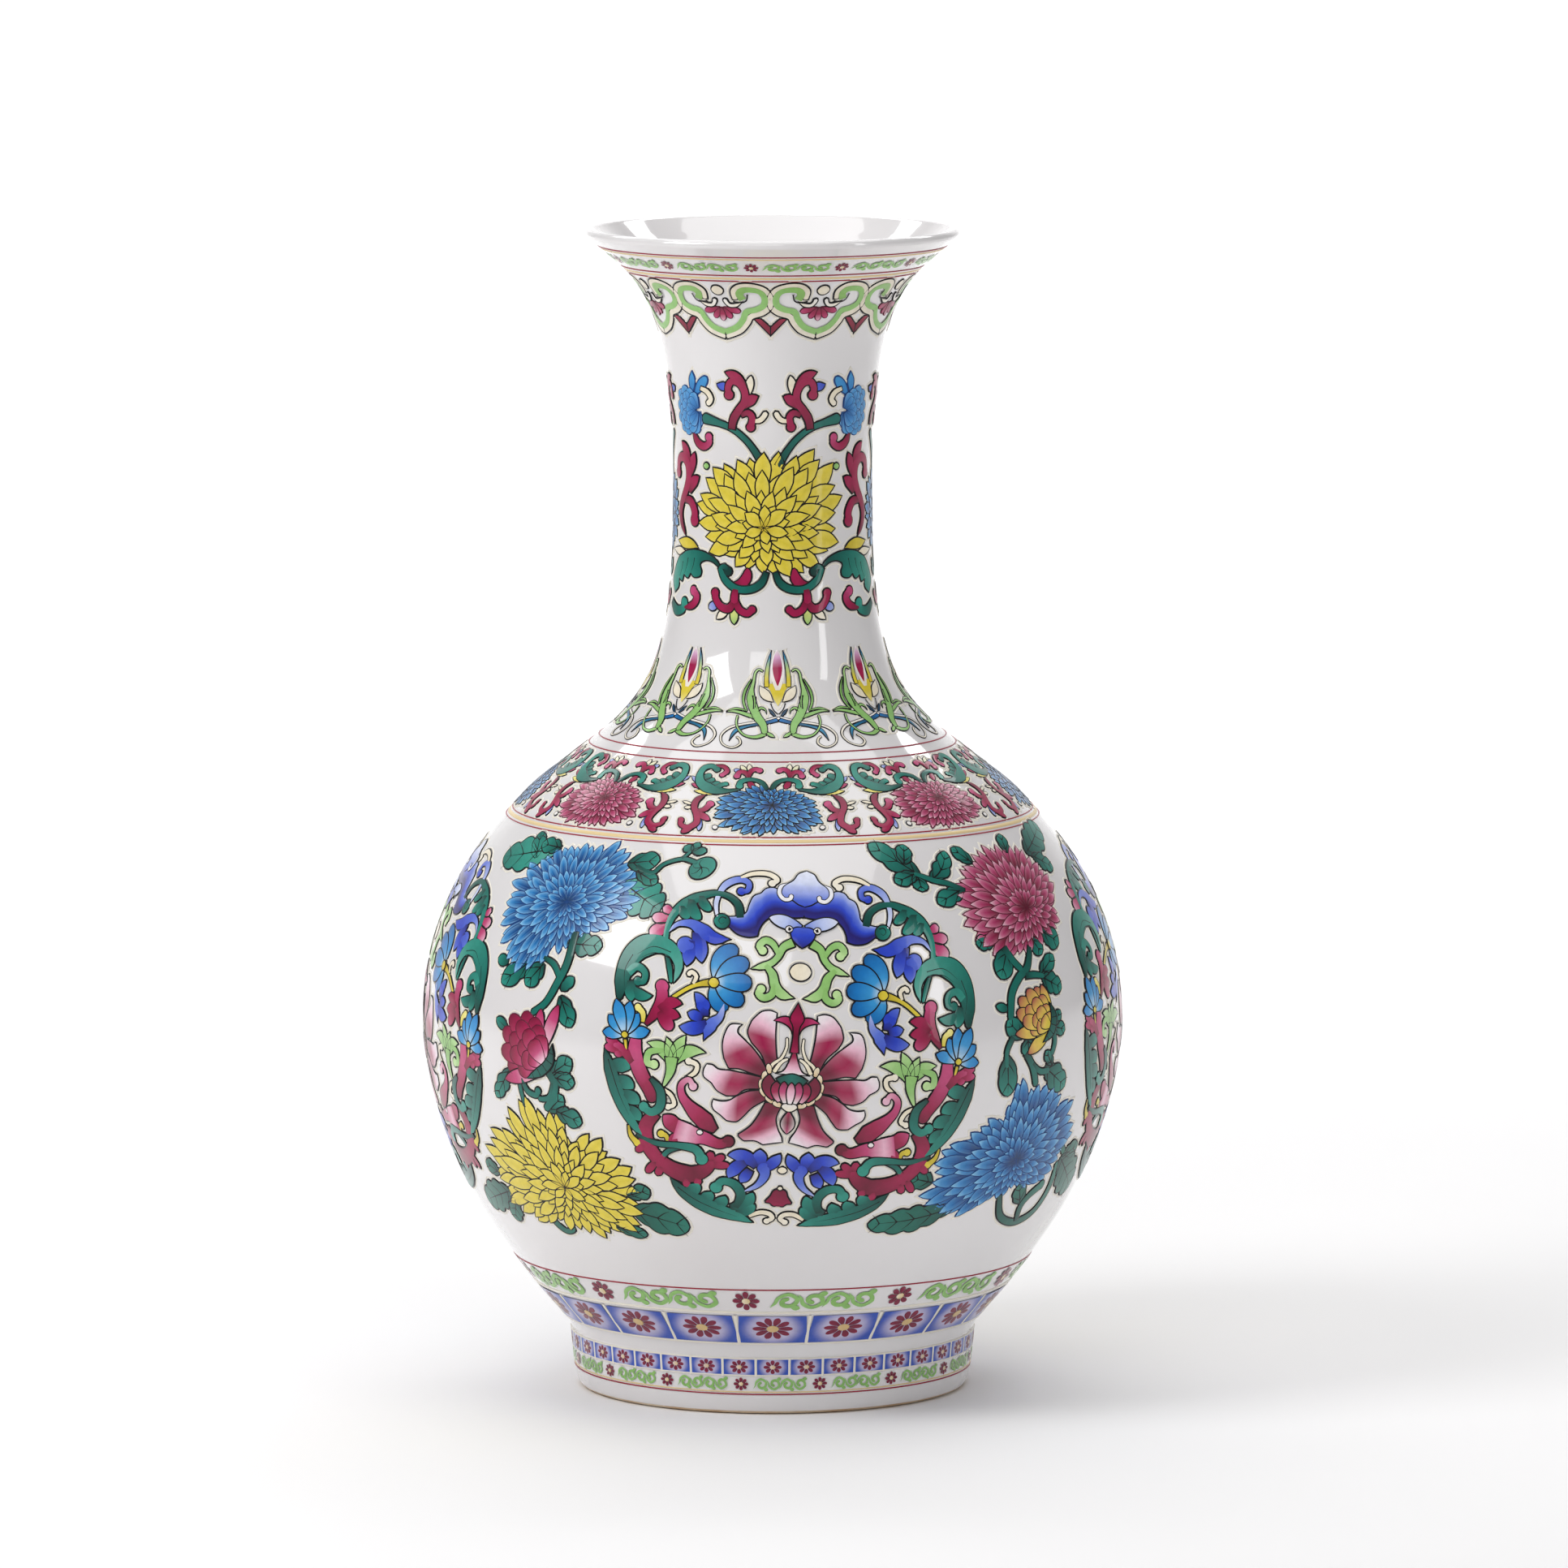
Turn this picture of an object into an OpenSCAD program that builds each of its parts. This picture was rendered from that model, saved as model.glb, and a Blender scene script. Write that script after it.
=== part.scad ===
// Bottle vase with a flared mouth, built in luted sections under a glaze, with raised enamels.
// Row frame: millimetres, +Z up, origin at the centre of the foot's resting face, front towards -Y.

/* [Body] */
// Outer radius of the belly at its widest
belly_r = 126.5; // [120:0.5:132]
// Outer radius of the neck at its waist
neck_r = 35.5; // [33:0.5:38]
// Radius of the foot ring just under the body
foot_r = 73.2; // [70:0.2:76]
// Height of the foot ring
foot_h = 21.5; // [18:0.5:24]
// Wall of the fired porcelain in the belly
belly_wall = 5; // [4:0.5:6]
// Wall of the fired porcelain at the lip
lip_wall = 2.8; // [2.4:0.1:3.4]

/* [Glaze and joints] */
// Thickness of the glaze coat
glaze_t = 0.3; // [0.2:0.05:0.5]
// Thickness of the slip layer in each luted joint
slip_t = 0.6; // [0.4:0.1:1]

/* [Enamels] */
// Height of the raised enamel motifs above the glaze
enamel_t = 0.5; // [0.3:0.1:0.8]
// Height of the raised ring lines above the glaze
line_t = 0.25; // [0.2:0.05:0.4]
// Motifs round the collar, the shoulder and the bud border
repeats = 8; // [6:1:10]
// Blue tiles round the bottom of the body
body_tile_count = 20; // [16:1:24]
// Blue tiles round the foot ring
foot_tile_count = 38; // [32:1:44]

/* [Hidden] */
$fn = 96;

// Outer outline of the glazed vase, from the foot to the lip, as [radius, height].
outline_knots = [
    [foot_r, foot_h], [76.2, 27], [84, 36], [96, 51.5], [108, 70], [118, 92], [124.4, 115],
    [belly_r, 137], [123.8, 159], [115.8, 181], [103.8, 200], [88.6, 217], [70.8, 231.5],
    [54.6, 245], [44.5, 259.5], [39, 277], [36.3, 299], [neck_r, 325], [36.2, 350],
    [38.6, 371], [42, 387], [47.2, 399], [54.2, 407.5], [61, 413.4], [66.6, 417.9]
];
knot_count = len(outline_knots);
steps_per_knot = 4;

// Catmull-Rom curve through the knots; u runs from 0 at the foot to knot_count - 1 at the lip.
function knot(i) = outline_knots[max(0, min(knot_count - 1, i))];
function curve(u) =
    let (i = min(floor(u), knot_count - 2), t = u - i,
         a = knot(i - 1), b = knot(i), c = knot(i + 1), d = knot(i + 2))
    b + 0.5 * t * ((c - a) + t * ((2 * a - 5 * b + 4 * c - d) + t * (3 * (b - c) + d - a)));
function tangent(u) =
    let (e = 0.01, v = curve(min(u + e, knot_count - 1)) - curve(max(u - e, 0))) v / norm(v);
function outward(u) = let (t = tangent(u)) [t[1], -t[0]];

// A point of the wall at depth d under the glazed surface.
function skin(u, d) = curve(u) - d * outward(u);

// Arc length along the outline, and the tables that turn a length or a height into a place on it.
samples = [for (k = [0 : (knot_count - 1) * steps_per_knot]) k / steps_per_knot];
outline = [for (u = samples) curve(u)];
lengths = [for (i = 0, s = 0; i < len(outline); s = s + (i + 1 < len(outline) ?
    norm(outline[i + 1] - outline[i]) : 0), i = i + 1) s];
u_of_length = [for (i = [0 : len(outline) - 1]) [lengths[i], samples[i]]];
length_of_height = [for (i = [0 : len(outline) - 1]) [outline[i][1], lengths[i]]];
function u_at(z) = lookup(lookup(z, length_of_height), u_of_length);

// Wall thickness: full in the belly, thinning up the neck to the lip.
u_lip = knot_count - 1;
u_neck = 13;
function wall(u) = u < u_neck ? belly_wall
    : belly_wall + (lip_wall - belly_wall) * (u - u_neck) / (u_lip - u_neck);

// Joints of the thrown sections.
u_foot = 0;
u_belly = 7;
u_shoulder = u_at(236.5);
u_waist = 17;
u_rim = u_at(406.5);
half_slip = slip_t / 2;
function along(u, mm) = lookup(lookup(curve(u)[1], length_of_height) + mm, u_of_length);

// The floor of the vase and the recess under it.
floor_z = 12;
floor_t = 5;
inner_r = foot_r - glaze_t - belly_wall;
recess_r = 62.5;
land_in = 64.5;
land_out = 68.5;

// Cross-section of the wall between two places on the outline and two depths.
function strip_us(u0, u1) = concat([u0], [for (u = samples) if (u > u0 + 0.02 && u < u1 - 0.02) u], [u1]);
module section(u0, u1) {
    us = strip_us(u0, u1);
    n = len(us);
    rotate_extrude()
        polygon(concat([for (u = us) skin(u, glaze_t)],
                       [for (i = [n - 1 : -1 : 0]) skin(us[i], glaze_t + wall(us[i]))]));
}

// A layer that follows the outline from u0 to u1, between depths d0 and d1.
module layer_ring(u0, u1, d0, d1, turn = 360) {
    us = strip_us(u0, u1);
    n = len(us);
    rotate_extrude(angle = turn)
        polygon(concat([for (u = us) skin(u, d0)], [for (i = [n - 1 : -1 : 0]) skin(us[i], d1)]));
}

// A raised ring line of a given width, centred at height z.
module ring_line(z, width, rise = line_t) {
    layer_ring(along(u_at(z), -width / 2), along(u_at(z), width / 2), -rise, 0);
}

// Half-round end of the wall at the lip, with the glaze coat or without it.
lip_mid = (lip_wall + 2 * glaze_t) / 2;
function lip_arc(radius) =
    let (c = skin(u_lip, lip_mid), o = outward(u_lip), t = tangent(u_lip))
    [for (a = [15 : 15 : 165]) c + radius * (cos(a) * o + sin(a) * t)];

// A point on the glaze: x runs round the vase and y up the outline from (turn, z), both in
// millimetres along the surface, and rise is the height above the glaze.
function on_vase(turn, z, x, y, rise) =
    let (s = lookup(z, length_of_height) + y, p = skin(lookup(s, u_of_length), -rise),
         r = curve(lookup(s, u_of_length))[0], a = turn - 90 + x / r * 180 / PI)
    [p[0] * cos(a), p[0] * sin(a), p[1]];

// An enamel pad that follows the glaze inside a closed outline. The outline and its middle lie in
// a flat drawing whose origin is the place (turn, z); lean turns the whole drawing.
// base is the height of its underside, just clear of the glaze so that no facet dips into it.
module pad(turn, z, shape, middle = [0, 0], lean = 0, rise = enamel_t, rings = 1, base = 0.05) {
    n = len(shape);
    flat = concat([middle], [for (k = [1 : rings]) for (p = shape) middle + p * k / rings]);
    drawn = [for (p = flat) [p[0] * cos(lean) + p[1] * sin(lean), p[1] * cos(lean) - p[0] * sin(lean)]];
    top = [for (p = drawn) on_vase(turn, z, p[0], p[1], rise)];
    under = [for (p = drawn) on_vase(turn, z, p[0], p[1], base)];
    m = len(top);
    function at(k, i) = 1 + k * n + i % n;
    polyhedron(
        points = concat(top, under),
        faces = concat(
            [for (i = [0 : n - 1]) [0, at(0, i + 1), at(0, i)]],
            [for (i = [0 : n - 1]) [m, m + at(0, i), m + at(0, i + 1)]],
            [for (k = [1 : 1 : rings - 1]) for (i = [0 : n - 1])
                [at(k - 1, i), at(k - 1, i + 1), at(k, i + 1), at(k, i)]],
            [for (k = [1 : 1 : rings - 1]) for (i = [0 : n - 1])
                [m + at(k - 1, i + 1), m + at(k - 1, i), m + at(k, i), m + at(k, i + 1)]],
            [for (i = [0 : n - 1])
                [at(rings - 1, i), at(rings - 1, i + 1), m + at(rings - 1, i + 1), m + at(rings - 1, i)]]),
        convexity = 4);
}

// A small flat enamel button with a given outline, square to the glaze at (turn, z).
module button(turn, z, shape, base, rise) {
    t = tangent(u_at(z));
    p = skin(u_at(z), -base);
    rotate([0, 0, turn - 90]) translate([p[0], 0, p[1]]) rotate([0, 90 + atan2(t[0], t[1]), 0])
        linear_extrude(rise) polygon(shape);
}

// Outlines of the enamels, round [0, 0].
function oval(w, h, n = 12) = [for (i = [0 : n - 1]) [w / 2 * cos(i * 360 / n), h / 2 * sin(i * 360 / n)]];
function rosette(r, petals, dip) =
    [for (i = [0 : 2 * petals - 1]) (i % 2 ? r * dip : r) * [cos(i * 180 / petals), sin(i * 180 / petals)]];
function petalled(w, h, petals, dip = 0.86) =
    [for (i = [0 : 2 * petals - 1]) let (k = i % 2 ? dip : 1, a = (i + 0.5) * 180 / petals)
        [w / 2 * k * cos(a), h / 2 * k * sin(a)]];
function leaf(long, wide, a, n = 8) =
    [for (i = [0 : n - 1]) let (t = i * 360 / n, x = long / 2 * cos(t),
        y = wide / 2 * sin(t) * (1 - 0.25 * cos(t)))
        [x * cos(a) - y * sin(a), x * sin(a) + y * cos(a)]];
function mirrored(half) = concat(half, [for (i = [len(half) - 1 : -1 : 0]) if (half[i][0] > 0.01)
    [-half[i][0], half[i][1]]]);
ruyi_outline = mirrored([[0, 8], [6, 9.2], [13, 8.4], [16.4, 4.4], [15, -1.2], [9.4, -4], [6, -8.4],
                         [0, -10.6]]);
chevron_outline = mirrored([[0, 0.4], [3.8, 4.2], [6, 3.2], [0, -4]]);
bat_outline = mirrored([[0, 15.4], [7, 10], [15, 9], [24, 5], [30.5, -7], [27, -11], [13, -6], [6, -7],
                        [0, -13]]);

// A spray of leaf-shaped pads, each [x, y, length, width, angle], with its mirror image or without.
module leaves(turn, z, marks, lean = 0, twins = true) {
    for (m = marks) {
        pad(turn, z, leaf(m[2], m[3], m[4]), [m[0], m[1]], lean);
        if (twins) pad(turn, z, leaf(m[2], m[3], 180 - m[4]), [-m[0], m[1]], lean);
    }
}

// Places round the vase. The medallions lean a little, and the sprays stand between them.
medallion_turns = [3.5, 93.5, 183.5, 273.5];
medallion_z = 140;
medallion_lean = 5;
left_spray_turns = [139, 319];
right_spray_turns = [45, 225];
spray_z = 137;
neck_turns = [-1, 179];
neck_side_turns = [89, 269];
neck_z = 318;
bud_z = 260;
shoulder_z = 219.6;
repeat_step = 360 / repeats;
rim_rosette_count = 11;
rim_step = 360 / rim_rosette_count;
body_rosette_count = 10;
body_step = 360 / body_rosette_count;
foot_rosette_count = 16;
foot_step = 360 / foot_rosette_count;

// --- Porcelain ---

module foot_ring() {
    color("whitesmoke") rotate_extrude()
        polygon([[land_in, 0], [land_out, 0], [70, 0.9], [71.1, 3], [71.6, 7],
                 [foot_r - glaze_t, foot_h - slip_t], [inner_r, foot_h - slip_t], [inner_r, floor_z],
                 [recess_r, floor_z]]);
}

module base_disc() {
    color("whitesmoke") translate([0, 0, floor_z]) cylinder(r = inner_r, h = floor_t);
}

module foot_luting() {
    color("gainsboro") rotate_extrude()
        polygon([[inner_r, foot_h - slip_t], [foot_r - glaze_t, foot_h - slip_t],
                 skin(u_foot, glaze_t), skin(u_foot, glaze_t + belly_wall)]);
}

module lower_body() {
    color("whitesmoke") section(u_foot, along(u_belly, -half_slip));
}

module belly_luting() {
    color("gainsboro") section(along(u_belly, -half_slip), along(u_belly, half_slip));
}

module upper_body() {
    color("whitesmoke") section(along(u_belly, half_slip), along(u_shoulder, -half_slip));
}

module shoulder_luting() {
    color("gainsboro") section(along(u_shoulder, -half_slip), along(u_shoulder, half_slip));
}

module lower_neck() {
    color("whitesmoke") section(along(u_shoulder, half_slip), along(u_waist, -half_slip));
}

module neck_luting() {
    color("gainsboro") section(along(u_waist, -half_slip), along(u_waist, half_slip));
}

module upper_neck() {
    color("whitesmoke") section(along(u_waist, half_slip), along(u_rim, -half_slip));
}

module rim_luting() {
    color("gainsboro") section(along(u_rim, -half_slip), along(u_rim, half_slip));
}

module mouth_flare() {
    us = strip_us(along(u_rim, half_slip), u_lip);
    n = len(us);
    color("whitesmoke") rotate_extrude()
        polygon(concat([for (u = us) skin(u, glaze_t)], lip_arc(lip_wall / 2),
                       [for (i = [n - 1 : -1 : 0]) skin(us[i], glaze_t + wall(us[i]))]));
}

// --- Glaze ---

module outer_glaze() {
    us = strip_us(u_foot, u_lip);
    n = len(us);
    arc_out = lip_arc(lip_mid);
    arc_in = lip_arc(lip_wall / 2);
    m = len(arc_in);
    color("white") rotate_extrude()
        polygon(concat([[70.4, 1.1], [71.4, 3], [71.9, 7], [foot_r, foot_h - slip_t]],
                       [for (u = us) skin(u, 0)], arc_out,
                       [skin(u_lip, 2 * glaze_t + lip_wall), skin(u_lip, glaze_t + lip_wall)],
                       [for (i = [m - 1 : -1 : 0]) arc_in[i]],
                       [for (i = [n - 1 : -1 : 0]) skin(us[i], glaze_t)],
                       [[foot_r - glaze_t, foot_h - slip_t], [71.6, 7], [71.1, 3], [70.1, 1.1]]));
}

module inner_glaze() {
    us = strip_us(u_foot, u_lip);
    n = len(us);
    floor_top = floor_z + floor_t;
    color("white") rotate_extrude()
        polygon(concat([[0, floor_top], [inner_r, floor_top]],
                       [for (u = us) skin(u, glaze_t + wall(u))],
                       [for (i = [n - 1 : -1 : 0]) skin(us[i], 2 * glaze_t + wall(us[i]))],
                       [[inner_r - glaze_t, floor_top + glaze_t], [0, floor_top + glaze_t]]));
}

module base_glaze() {
    color("white") translate([0, 0, floor_z - glaze_t]) cylinder(r = recess_r - 0.1, h = glaze_t);
}

// --- Ring lines ---

module rim_gold_lines() {
    color("burlywood") { ring_line(414, 0.6); ring_line(406.6, 1); }
}

module rim_red_lines() {
    color("brown") { ring_line(414.7, 0.6); ring_line(407.6, 0.6); ring_line(405.5, 0.5); }
}

module shoulder_red_lines() {
    color("brown") { ring_line(237.8, 0.5); ring_line(235, 0.5); ring_line(211.4, 0.5); ring_line(209, 0.5); }
}

module shoulder_gold_band() {
    color("burlywood") ring_line(210.2, 1.6);
}

module body_red_line() {
    color("brown") ring_line(49, 0.6);
}

// --- Mouth and neck enamels ---

// A raised patch between heights z0 and z1, centred at turn.
module band_patch(turn, z0, z1, sweep, rise = line_t) {
    rotate([0, 0, turn - 90 - sweep / 2]) layer_ring(u_at(z0), u_at(z1), -rise, 0, sweep);
}

module rim_scrolls() {
    color("yellowgreen") for (k = [0 : rim_rosette_count - 1])
        band_patch((k + 0.5) * rim_step - 7.6, 409.3, 412.7, 0.7 * rim_step);
}

module rim_rosettes() {
    color("maroon") for (k = [0 : rim_rosette_count - 1])
        button(k * rim_step - 7.6, 411, rosette(2.7, 8, 0.7), 0.1, 0.4);
}

module ruyi_collar() {
    color("yellowgreen") for (k = [0 : repeats - 1])
        pad((k + 0.5) * repeat_step - 1, 394.4, ruyi_outline, rise = 0.4, rings = 2);
}

module ruyi_lotuses() {
    color("palevioletred") for (k = [0 : repeats - 1])
        pad((k + 0.5) * repeat_step - 1, 394.4, petalled(9, 6, 5), rise = 0.7, base = 0.45);
}

module collar_chevrons() {
    color("maroon") for (k = [0 : repeats - 1])
        pad(k * repeat_step - 1, 388.2, chevron_outline, [0, -1.4], rise = 0.3);
}

module neck_yellow_flowers() {
    color("gold") for (a = neck_turns) pad(a, neck_z, petalled(56, 42, 14), [0, 1], rings = 4);
}

module neck_blue_flowers() {
    color("dodgerblue") {
        for (a = neck_turns) for (side = [-1, 1])
            pad(a, neck_z, petalled(13, 23, 6), [side * 32, 41], rings = 2);
        for (a = neck_side_turns) pad(a, neck_z, petalled(26, 32, 9), [0, 2], rings = 2);
    }
}

module neck_rose_scrolls() {
    color("mediumvioletred") {
        for (a = neck_turns)
            leaves(a, neck_z, [[10.8, 44, 20, 8, 80], [35.2, 17, 17, 7, 100], [35.2, -1, 17, 7, 80],
                               [14.5, -31, 12, 8, 60]]);
        for (a = neck_side_turns) leaves(a, neck_z, [[9.5, 44, 18, 7, 80], [9, -31, 12, 7, 60]]);
    }
}

module neck_stems() {
    color("seagreen") {
        for (a = neck_turns)
            leaves(a, neck_z, [[17.5, 31, 16, 3.4, 26], [16.5, -23.5, 16, 3.4, -12], [31, -17, 12, 8, -20],
                               [35, -28, 12, 7, 80]]);
        for (a = neck_side_turns) leaves(a, neck_z, [[6, 27, 12, 3, 50], [8, -20.5, 12, 3.2, -30]]);
    }
}

// --- Shoulder enamels ---

module bud_tips() {
    color("palevioletred") for (k = [0 : repeats - 1])
        pad(k * repeat_step + 2.3, bud_z, leaf(23, 7, 90, 10), [0, 3], rings = 2);
}

module bud_leaves() {
    color("yellowgreen") for (k = [0 : repeats - 1]) {
        leaves(k * repeat_step + 2.3, bud_z, [[8.6, -3, 17, 4, 105], [11.5, -17, 11, 5, -25]]);
        leaves(k * repeat_step + 2.3, bud_z, [[0, -15, 9, 6, 90]], twins = false);
    }
}

module shoulder_blue_flowers() {
    color("steelblue") for (k = [0 : 2 : repeats - 1])
        pad(k * repeat_step - 1, shoulder_z, petalled(37, 22, 12), [0, 1], rings = 2);
}

module shoulder_rose_flowers() {
    color("mediumvioletred") for (k = [1 : 2 : repeats - 1])
        pad(k * repeat_step - 1, shoulder_z, petalled(37, 22, 12), [0, 1], rings = 2);
}

module shoulder_leaves() {
    color("seagreen") for (k = [0 : repeats - 1])
        leaves(k * repeat_step - 1, shoulder_z, [[20, 14.5, 14, 5, 8]]);
}

module shoulder_rose_scrolls() {
    color("mediumvioletred") for (k = [0 : repeats - 1])
        leaves(k * repeat_step - 1, shoulder_z, [[6.5, 15.6, 8, 4, 60], [25.5, -1, 18, 6, 84]]);
}

// --- Belly enamels ---

module medallion_bats() {
    color("royalblue") for (a = medallion_turns)
        pad(a, medallion_z, bat_outline, [0, 50], medallion_lean, rings = 2);
}

module medallion_lotuses() {
    color("mediumvioletred") for (a = medallion_turns)
        pad(a, medallion_z, petalled(57, 48, 11, 0.76), [0, -9], medallion_lean, rings = 2);
}

module medallion_wreaths() {
    color("seagreen") for (a = medallion_turns)
        leaves(a, medallion_z, [[40.5, 49.5, 19, 6, -35], [55.6, 24, 18, 13, -65], [64, -16, 16, 7, 80],
                                [60.5, -33, 18, 7, 66], [30, -57.5, 24, 8, 17], [12, -62, 11, 6, 10]],
               medallion_lean);
}

module medallion_blooms() {
    color("steelblue") for (a = medallion_turns)
        leaves(a, medallion_z, [[22.6, 21.5, 18, 12, 100], [60.5, 5.5, 12, 11, 0]], medallion_lean);
}

module medallion_rose_scrolls() {
    color("mediumvioletred") for (a = medallion_turns) {
        leaves(a, medallion_z, [[54, 39, 9, 7, -60], [46, 9, 13, 10, 40], [56, -12, 18, 6, 60],
                                [51, -31, 16, 6, 86], [38, -45, 22, 7, 22], [31, -28, 22, 8, 42]],
               medallion_lean);
        leaves(a, medallion_z, [[0, -54, 8, 8, 90]], medallion_lean, twins = false);
    }
}

module medallion_cobalt_scrolls() {
    color("royalblue") for (a = medallion_turns)
        leaves(a, medallion_z, [[35, 33, 13, 9, 25], [31, 7, 14, 9, -35], [11, -45, 15, 9, 60]],
               medallion_lean);
}

module medallion_green_scrolls() {
    color("yellowgreen") for (a = medallion_turns)
        leaves(a, medallion_z, [[9.5, 27.5, 17, 7, 90], [41, -8, 15, 11, 90]], medallion_lean);
}

module spray_blue_flowers() {
    color("dodgerblue") {
        for (a = left_spray_turns) pad(a, spray_z, petalled(46, 44, 14), [-1, 50], 0, rings = 2);
        for (a = right_spray_turns) pad(a, spray_z, petalled(60, 44, 14), [-2, -40], -30, rings = 2);
    }
}

module spray_yellow_flowers() {
    color("gold") for (a = left_spray_turns) pad(a, spray_z, petalled(66, 42, 16), [2, -45], 0, rings = 2);
}

module spray_rose_flowers() {
    color("palevioletred") {
        for (a = right_spray_turns) pad(a, spray_z, petalled(44, 40, 13), [9, 51], rings = 2);
        for (a = left_spray_turns) pad(a, spray_z, leaf(25, 17, 60, 12), [-4, 1], rings = 2);
        for (a = right_spray_turns) pad(a, spray_z, leaf(21, 13, 75, 12), [5, 10], rings = 2);
    }
}

module spray_leaves() {
    color("seagreen") {
        for (a = left_spray_turns)
            leaves(a, spray_z, [[-26, 66, 14, 8, 60], [37, 69, 22, 4, 12], [30, 54, 13, 8, -30],
                                [-17, 21, 10, 7, 0], [5, 20, 14, 3.4, 65], [13, 9, 12, 7, 80],
                                [13, -12, 13, 8, 20], [-33, -65, 13, 9, 40], [37, -66, 22, 9, -15],
                                [-6, -71, 9, 7, 90]], twins = false);
        for (a = right_spray_turns)
            leaves(a, spray_z, [[-34, 69, 18, 8, -20], [-20, 60, 12, 8, -50], [36, 69, 12, 9, 60],
                                [-15, 32, 11, 8, 20], [-7, 23, 12, 7, 50], [15, 24, 12, 7, 120],
                                [19, 6, 13, 7, 90], [-6, -9, 11, 7, 110], [19, -10, 12, 7, 80],
                                [-38, -64, 20, 9, 10], [38, -46, 22, 8, 70], [24, -66, 20, 4, 20]],
                   twins = false);
    }
}

// --- Borders of the body and the foot ---

// Straight relief lines up the wall between the tiles of one border.
module grid_posts(z0, z1, count, width) {
    for (k = [0 : count - 1]) band_patch((k + 0.5) * 360 / count, z0, z1, width);
}

module body_scrolls() {
    color("yellowgreen") for (k = [0 : body_rosette_count - 1])
        band_patch((k + 0.5) * body_step - 6, 42.2, 47, 0.7 * body_step);
}

module body_rosettes() {
    color("maroon") for (k = [0 : body_rosette_count - 1])
        button(k * body_step - 6, 44.6, rosette(4, 8, 0.7), 0.02, 0.4);
}

module body_grid_lines() {
    color("burlywood") {
        ring_line(39.6, 0.8);
        ring_line(26.9, 0.8);
        grid_posts(27.3, 39.2, body_tile_count, 0.5);
    }
}

module body_tiles() {
    step = 360 / body_tile_count;
    color("royalblue") for (k = [0 : body_tile_count - 1]) band_patch(k * step, 27.4, 39.1, step - 0.7);
}

module body_tile_rosettes() {
    step = 360 / body_tile_count;
    color("maroon") for (k = [0 : body_tile_count - 1])
        button(k * step, 33.2, rosette(5.8, 8, 0.7), line_t + 0.02, 0.3);
}

// The foot ring is a plain taper, so its tiles and rosettes stand on a cone.
function foot_radius(z) = 71.9 + (z - 7) * (foot_r - 71.9) / (foot_h - slip_t - 7);
module foot_patch(turn, z0, z1, sweep) {
    rotate([0, 0, turn - 90 - sweep / 2]) rotate_extrude(angle = sweep)
        polygon([[foot_radius(z0), z0], [foot_radius(z0) + line_t, z0],
                 [foot_radius(z1) + line_t, z1], [foot_radius(z1), z1]]);
}

// A small enamel button on the foot ring, standing off its wall by base.
module foot_button(turn, z, r, base) {
    rotate([0, 0, turn - 90]) translate([foot_radius(z) + base, 0, z]) rotate([0, 88, 0])
        linear_extrude(0.3) polygon(rosette(r, 6, 0.7));
}

module foot_grid_lines() {
    color("burlywood") {
        foot_patch(0, 20.3, 20.7, 360);
        foot_patch(0, 14.5, 14.9, 360);
        for (k = [0 : foot_tile_count - 1]) foot_patch((k + 0.5) * 360 / foot_tile_count, 15, 20.2, 0.5);
    }
}

module foot_tiles() {
    step = 360 / foot_tile_count;
    color("royalblue") for (k = [0 : foot_tile_count - 1]) foot_patch(k * step, 15, 20.2, step - 0.7);
}

module foot_tile_rosettes() {
    color("maroon") for (k = [0 : foot_tile_count - 1])
        foot_button(k * 360 / foot_tile_count, 17.6, 2.1, line_t + 0.1);
}

module foot_scrolls() {
    color("yellowgreen") for (k = [0 : foot_rosette_count - 1])
        foot_patch((k + 0.5) * foot_step - 9, 9.6, 12.8, 0.7 * foot_step);
}

module foot_rosettes() {
    color("maroon") for (k = [0 : foot_rosette_count - 1]) foot_button(k * foot_step - 9, 11.2, 1.9, 0.1);
}

module foot_red_line() {
    color("brown") foot_patch(0, 7.2, 7.7, 360);
}

foot_ring();
base_disc();
foot_luting();
lower_body();
belly_luting();
upper_body();
shoulder_luting();
lower_neck();
neck_luting();
upper_neck();
rim_luting();
mouth_flare();
outer_glaze();
inner_glaze();
base_glaze();
rim_gold_lines();
rim_red_lines();
rim_scrolls();
rim_rosettes();
ruyi_collar();
ruyi_lotuses();
collar_chevrons();
neck_yellow_flowers();
neck_blue_flowers();
neck_rose_scrolls();
neck_stems();
bud_tips();
bud_leaves();
shoulder_red_lines();
shoulder_gold_band();
shoulder_blue_flowers();
shoulder_rose_flowers();
shoulder_leaves();
shoulder_rose_scrolls();
medallion_bats();
medallion_lotuses();
medallion_wreaths();
medallion_blooms();
medallion_rose_scrolls();
medallion_cobalt_scrolls();
medallion_green_scrolls();
spray_blue_flowers();
spray_yellow_flowers();
spray_rose_flowers();
spray_leaves();
body_red_line();
body_scrolls();
body_rosettes();
body_grid_lines();
body_tiles();
body_tile_rosettes();
foot_grid_lines();
foot_tiles();
foot_tile_rosettes();
foot_scrolls();
foot_rosettes();
foot_red_line();
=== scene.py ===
"""Bottle vase in porcelain: glaze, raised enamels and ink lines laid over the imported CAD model.

Flat drawings are in millimetres: x runs round the vase to the right, y runs up along its outline.
Each drawing is made once and then laid on the glaze at every place where the motif stands.
"""
import math
import random
from contextlib import contextmanager

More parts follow.
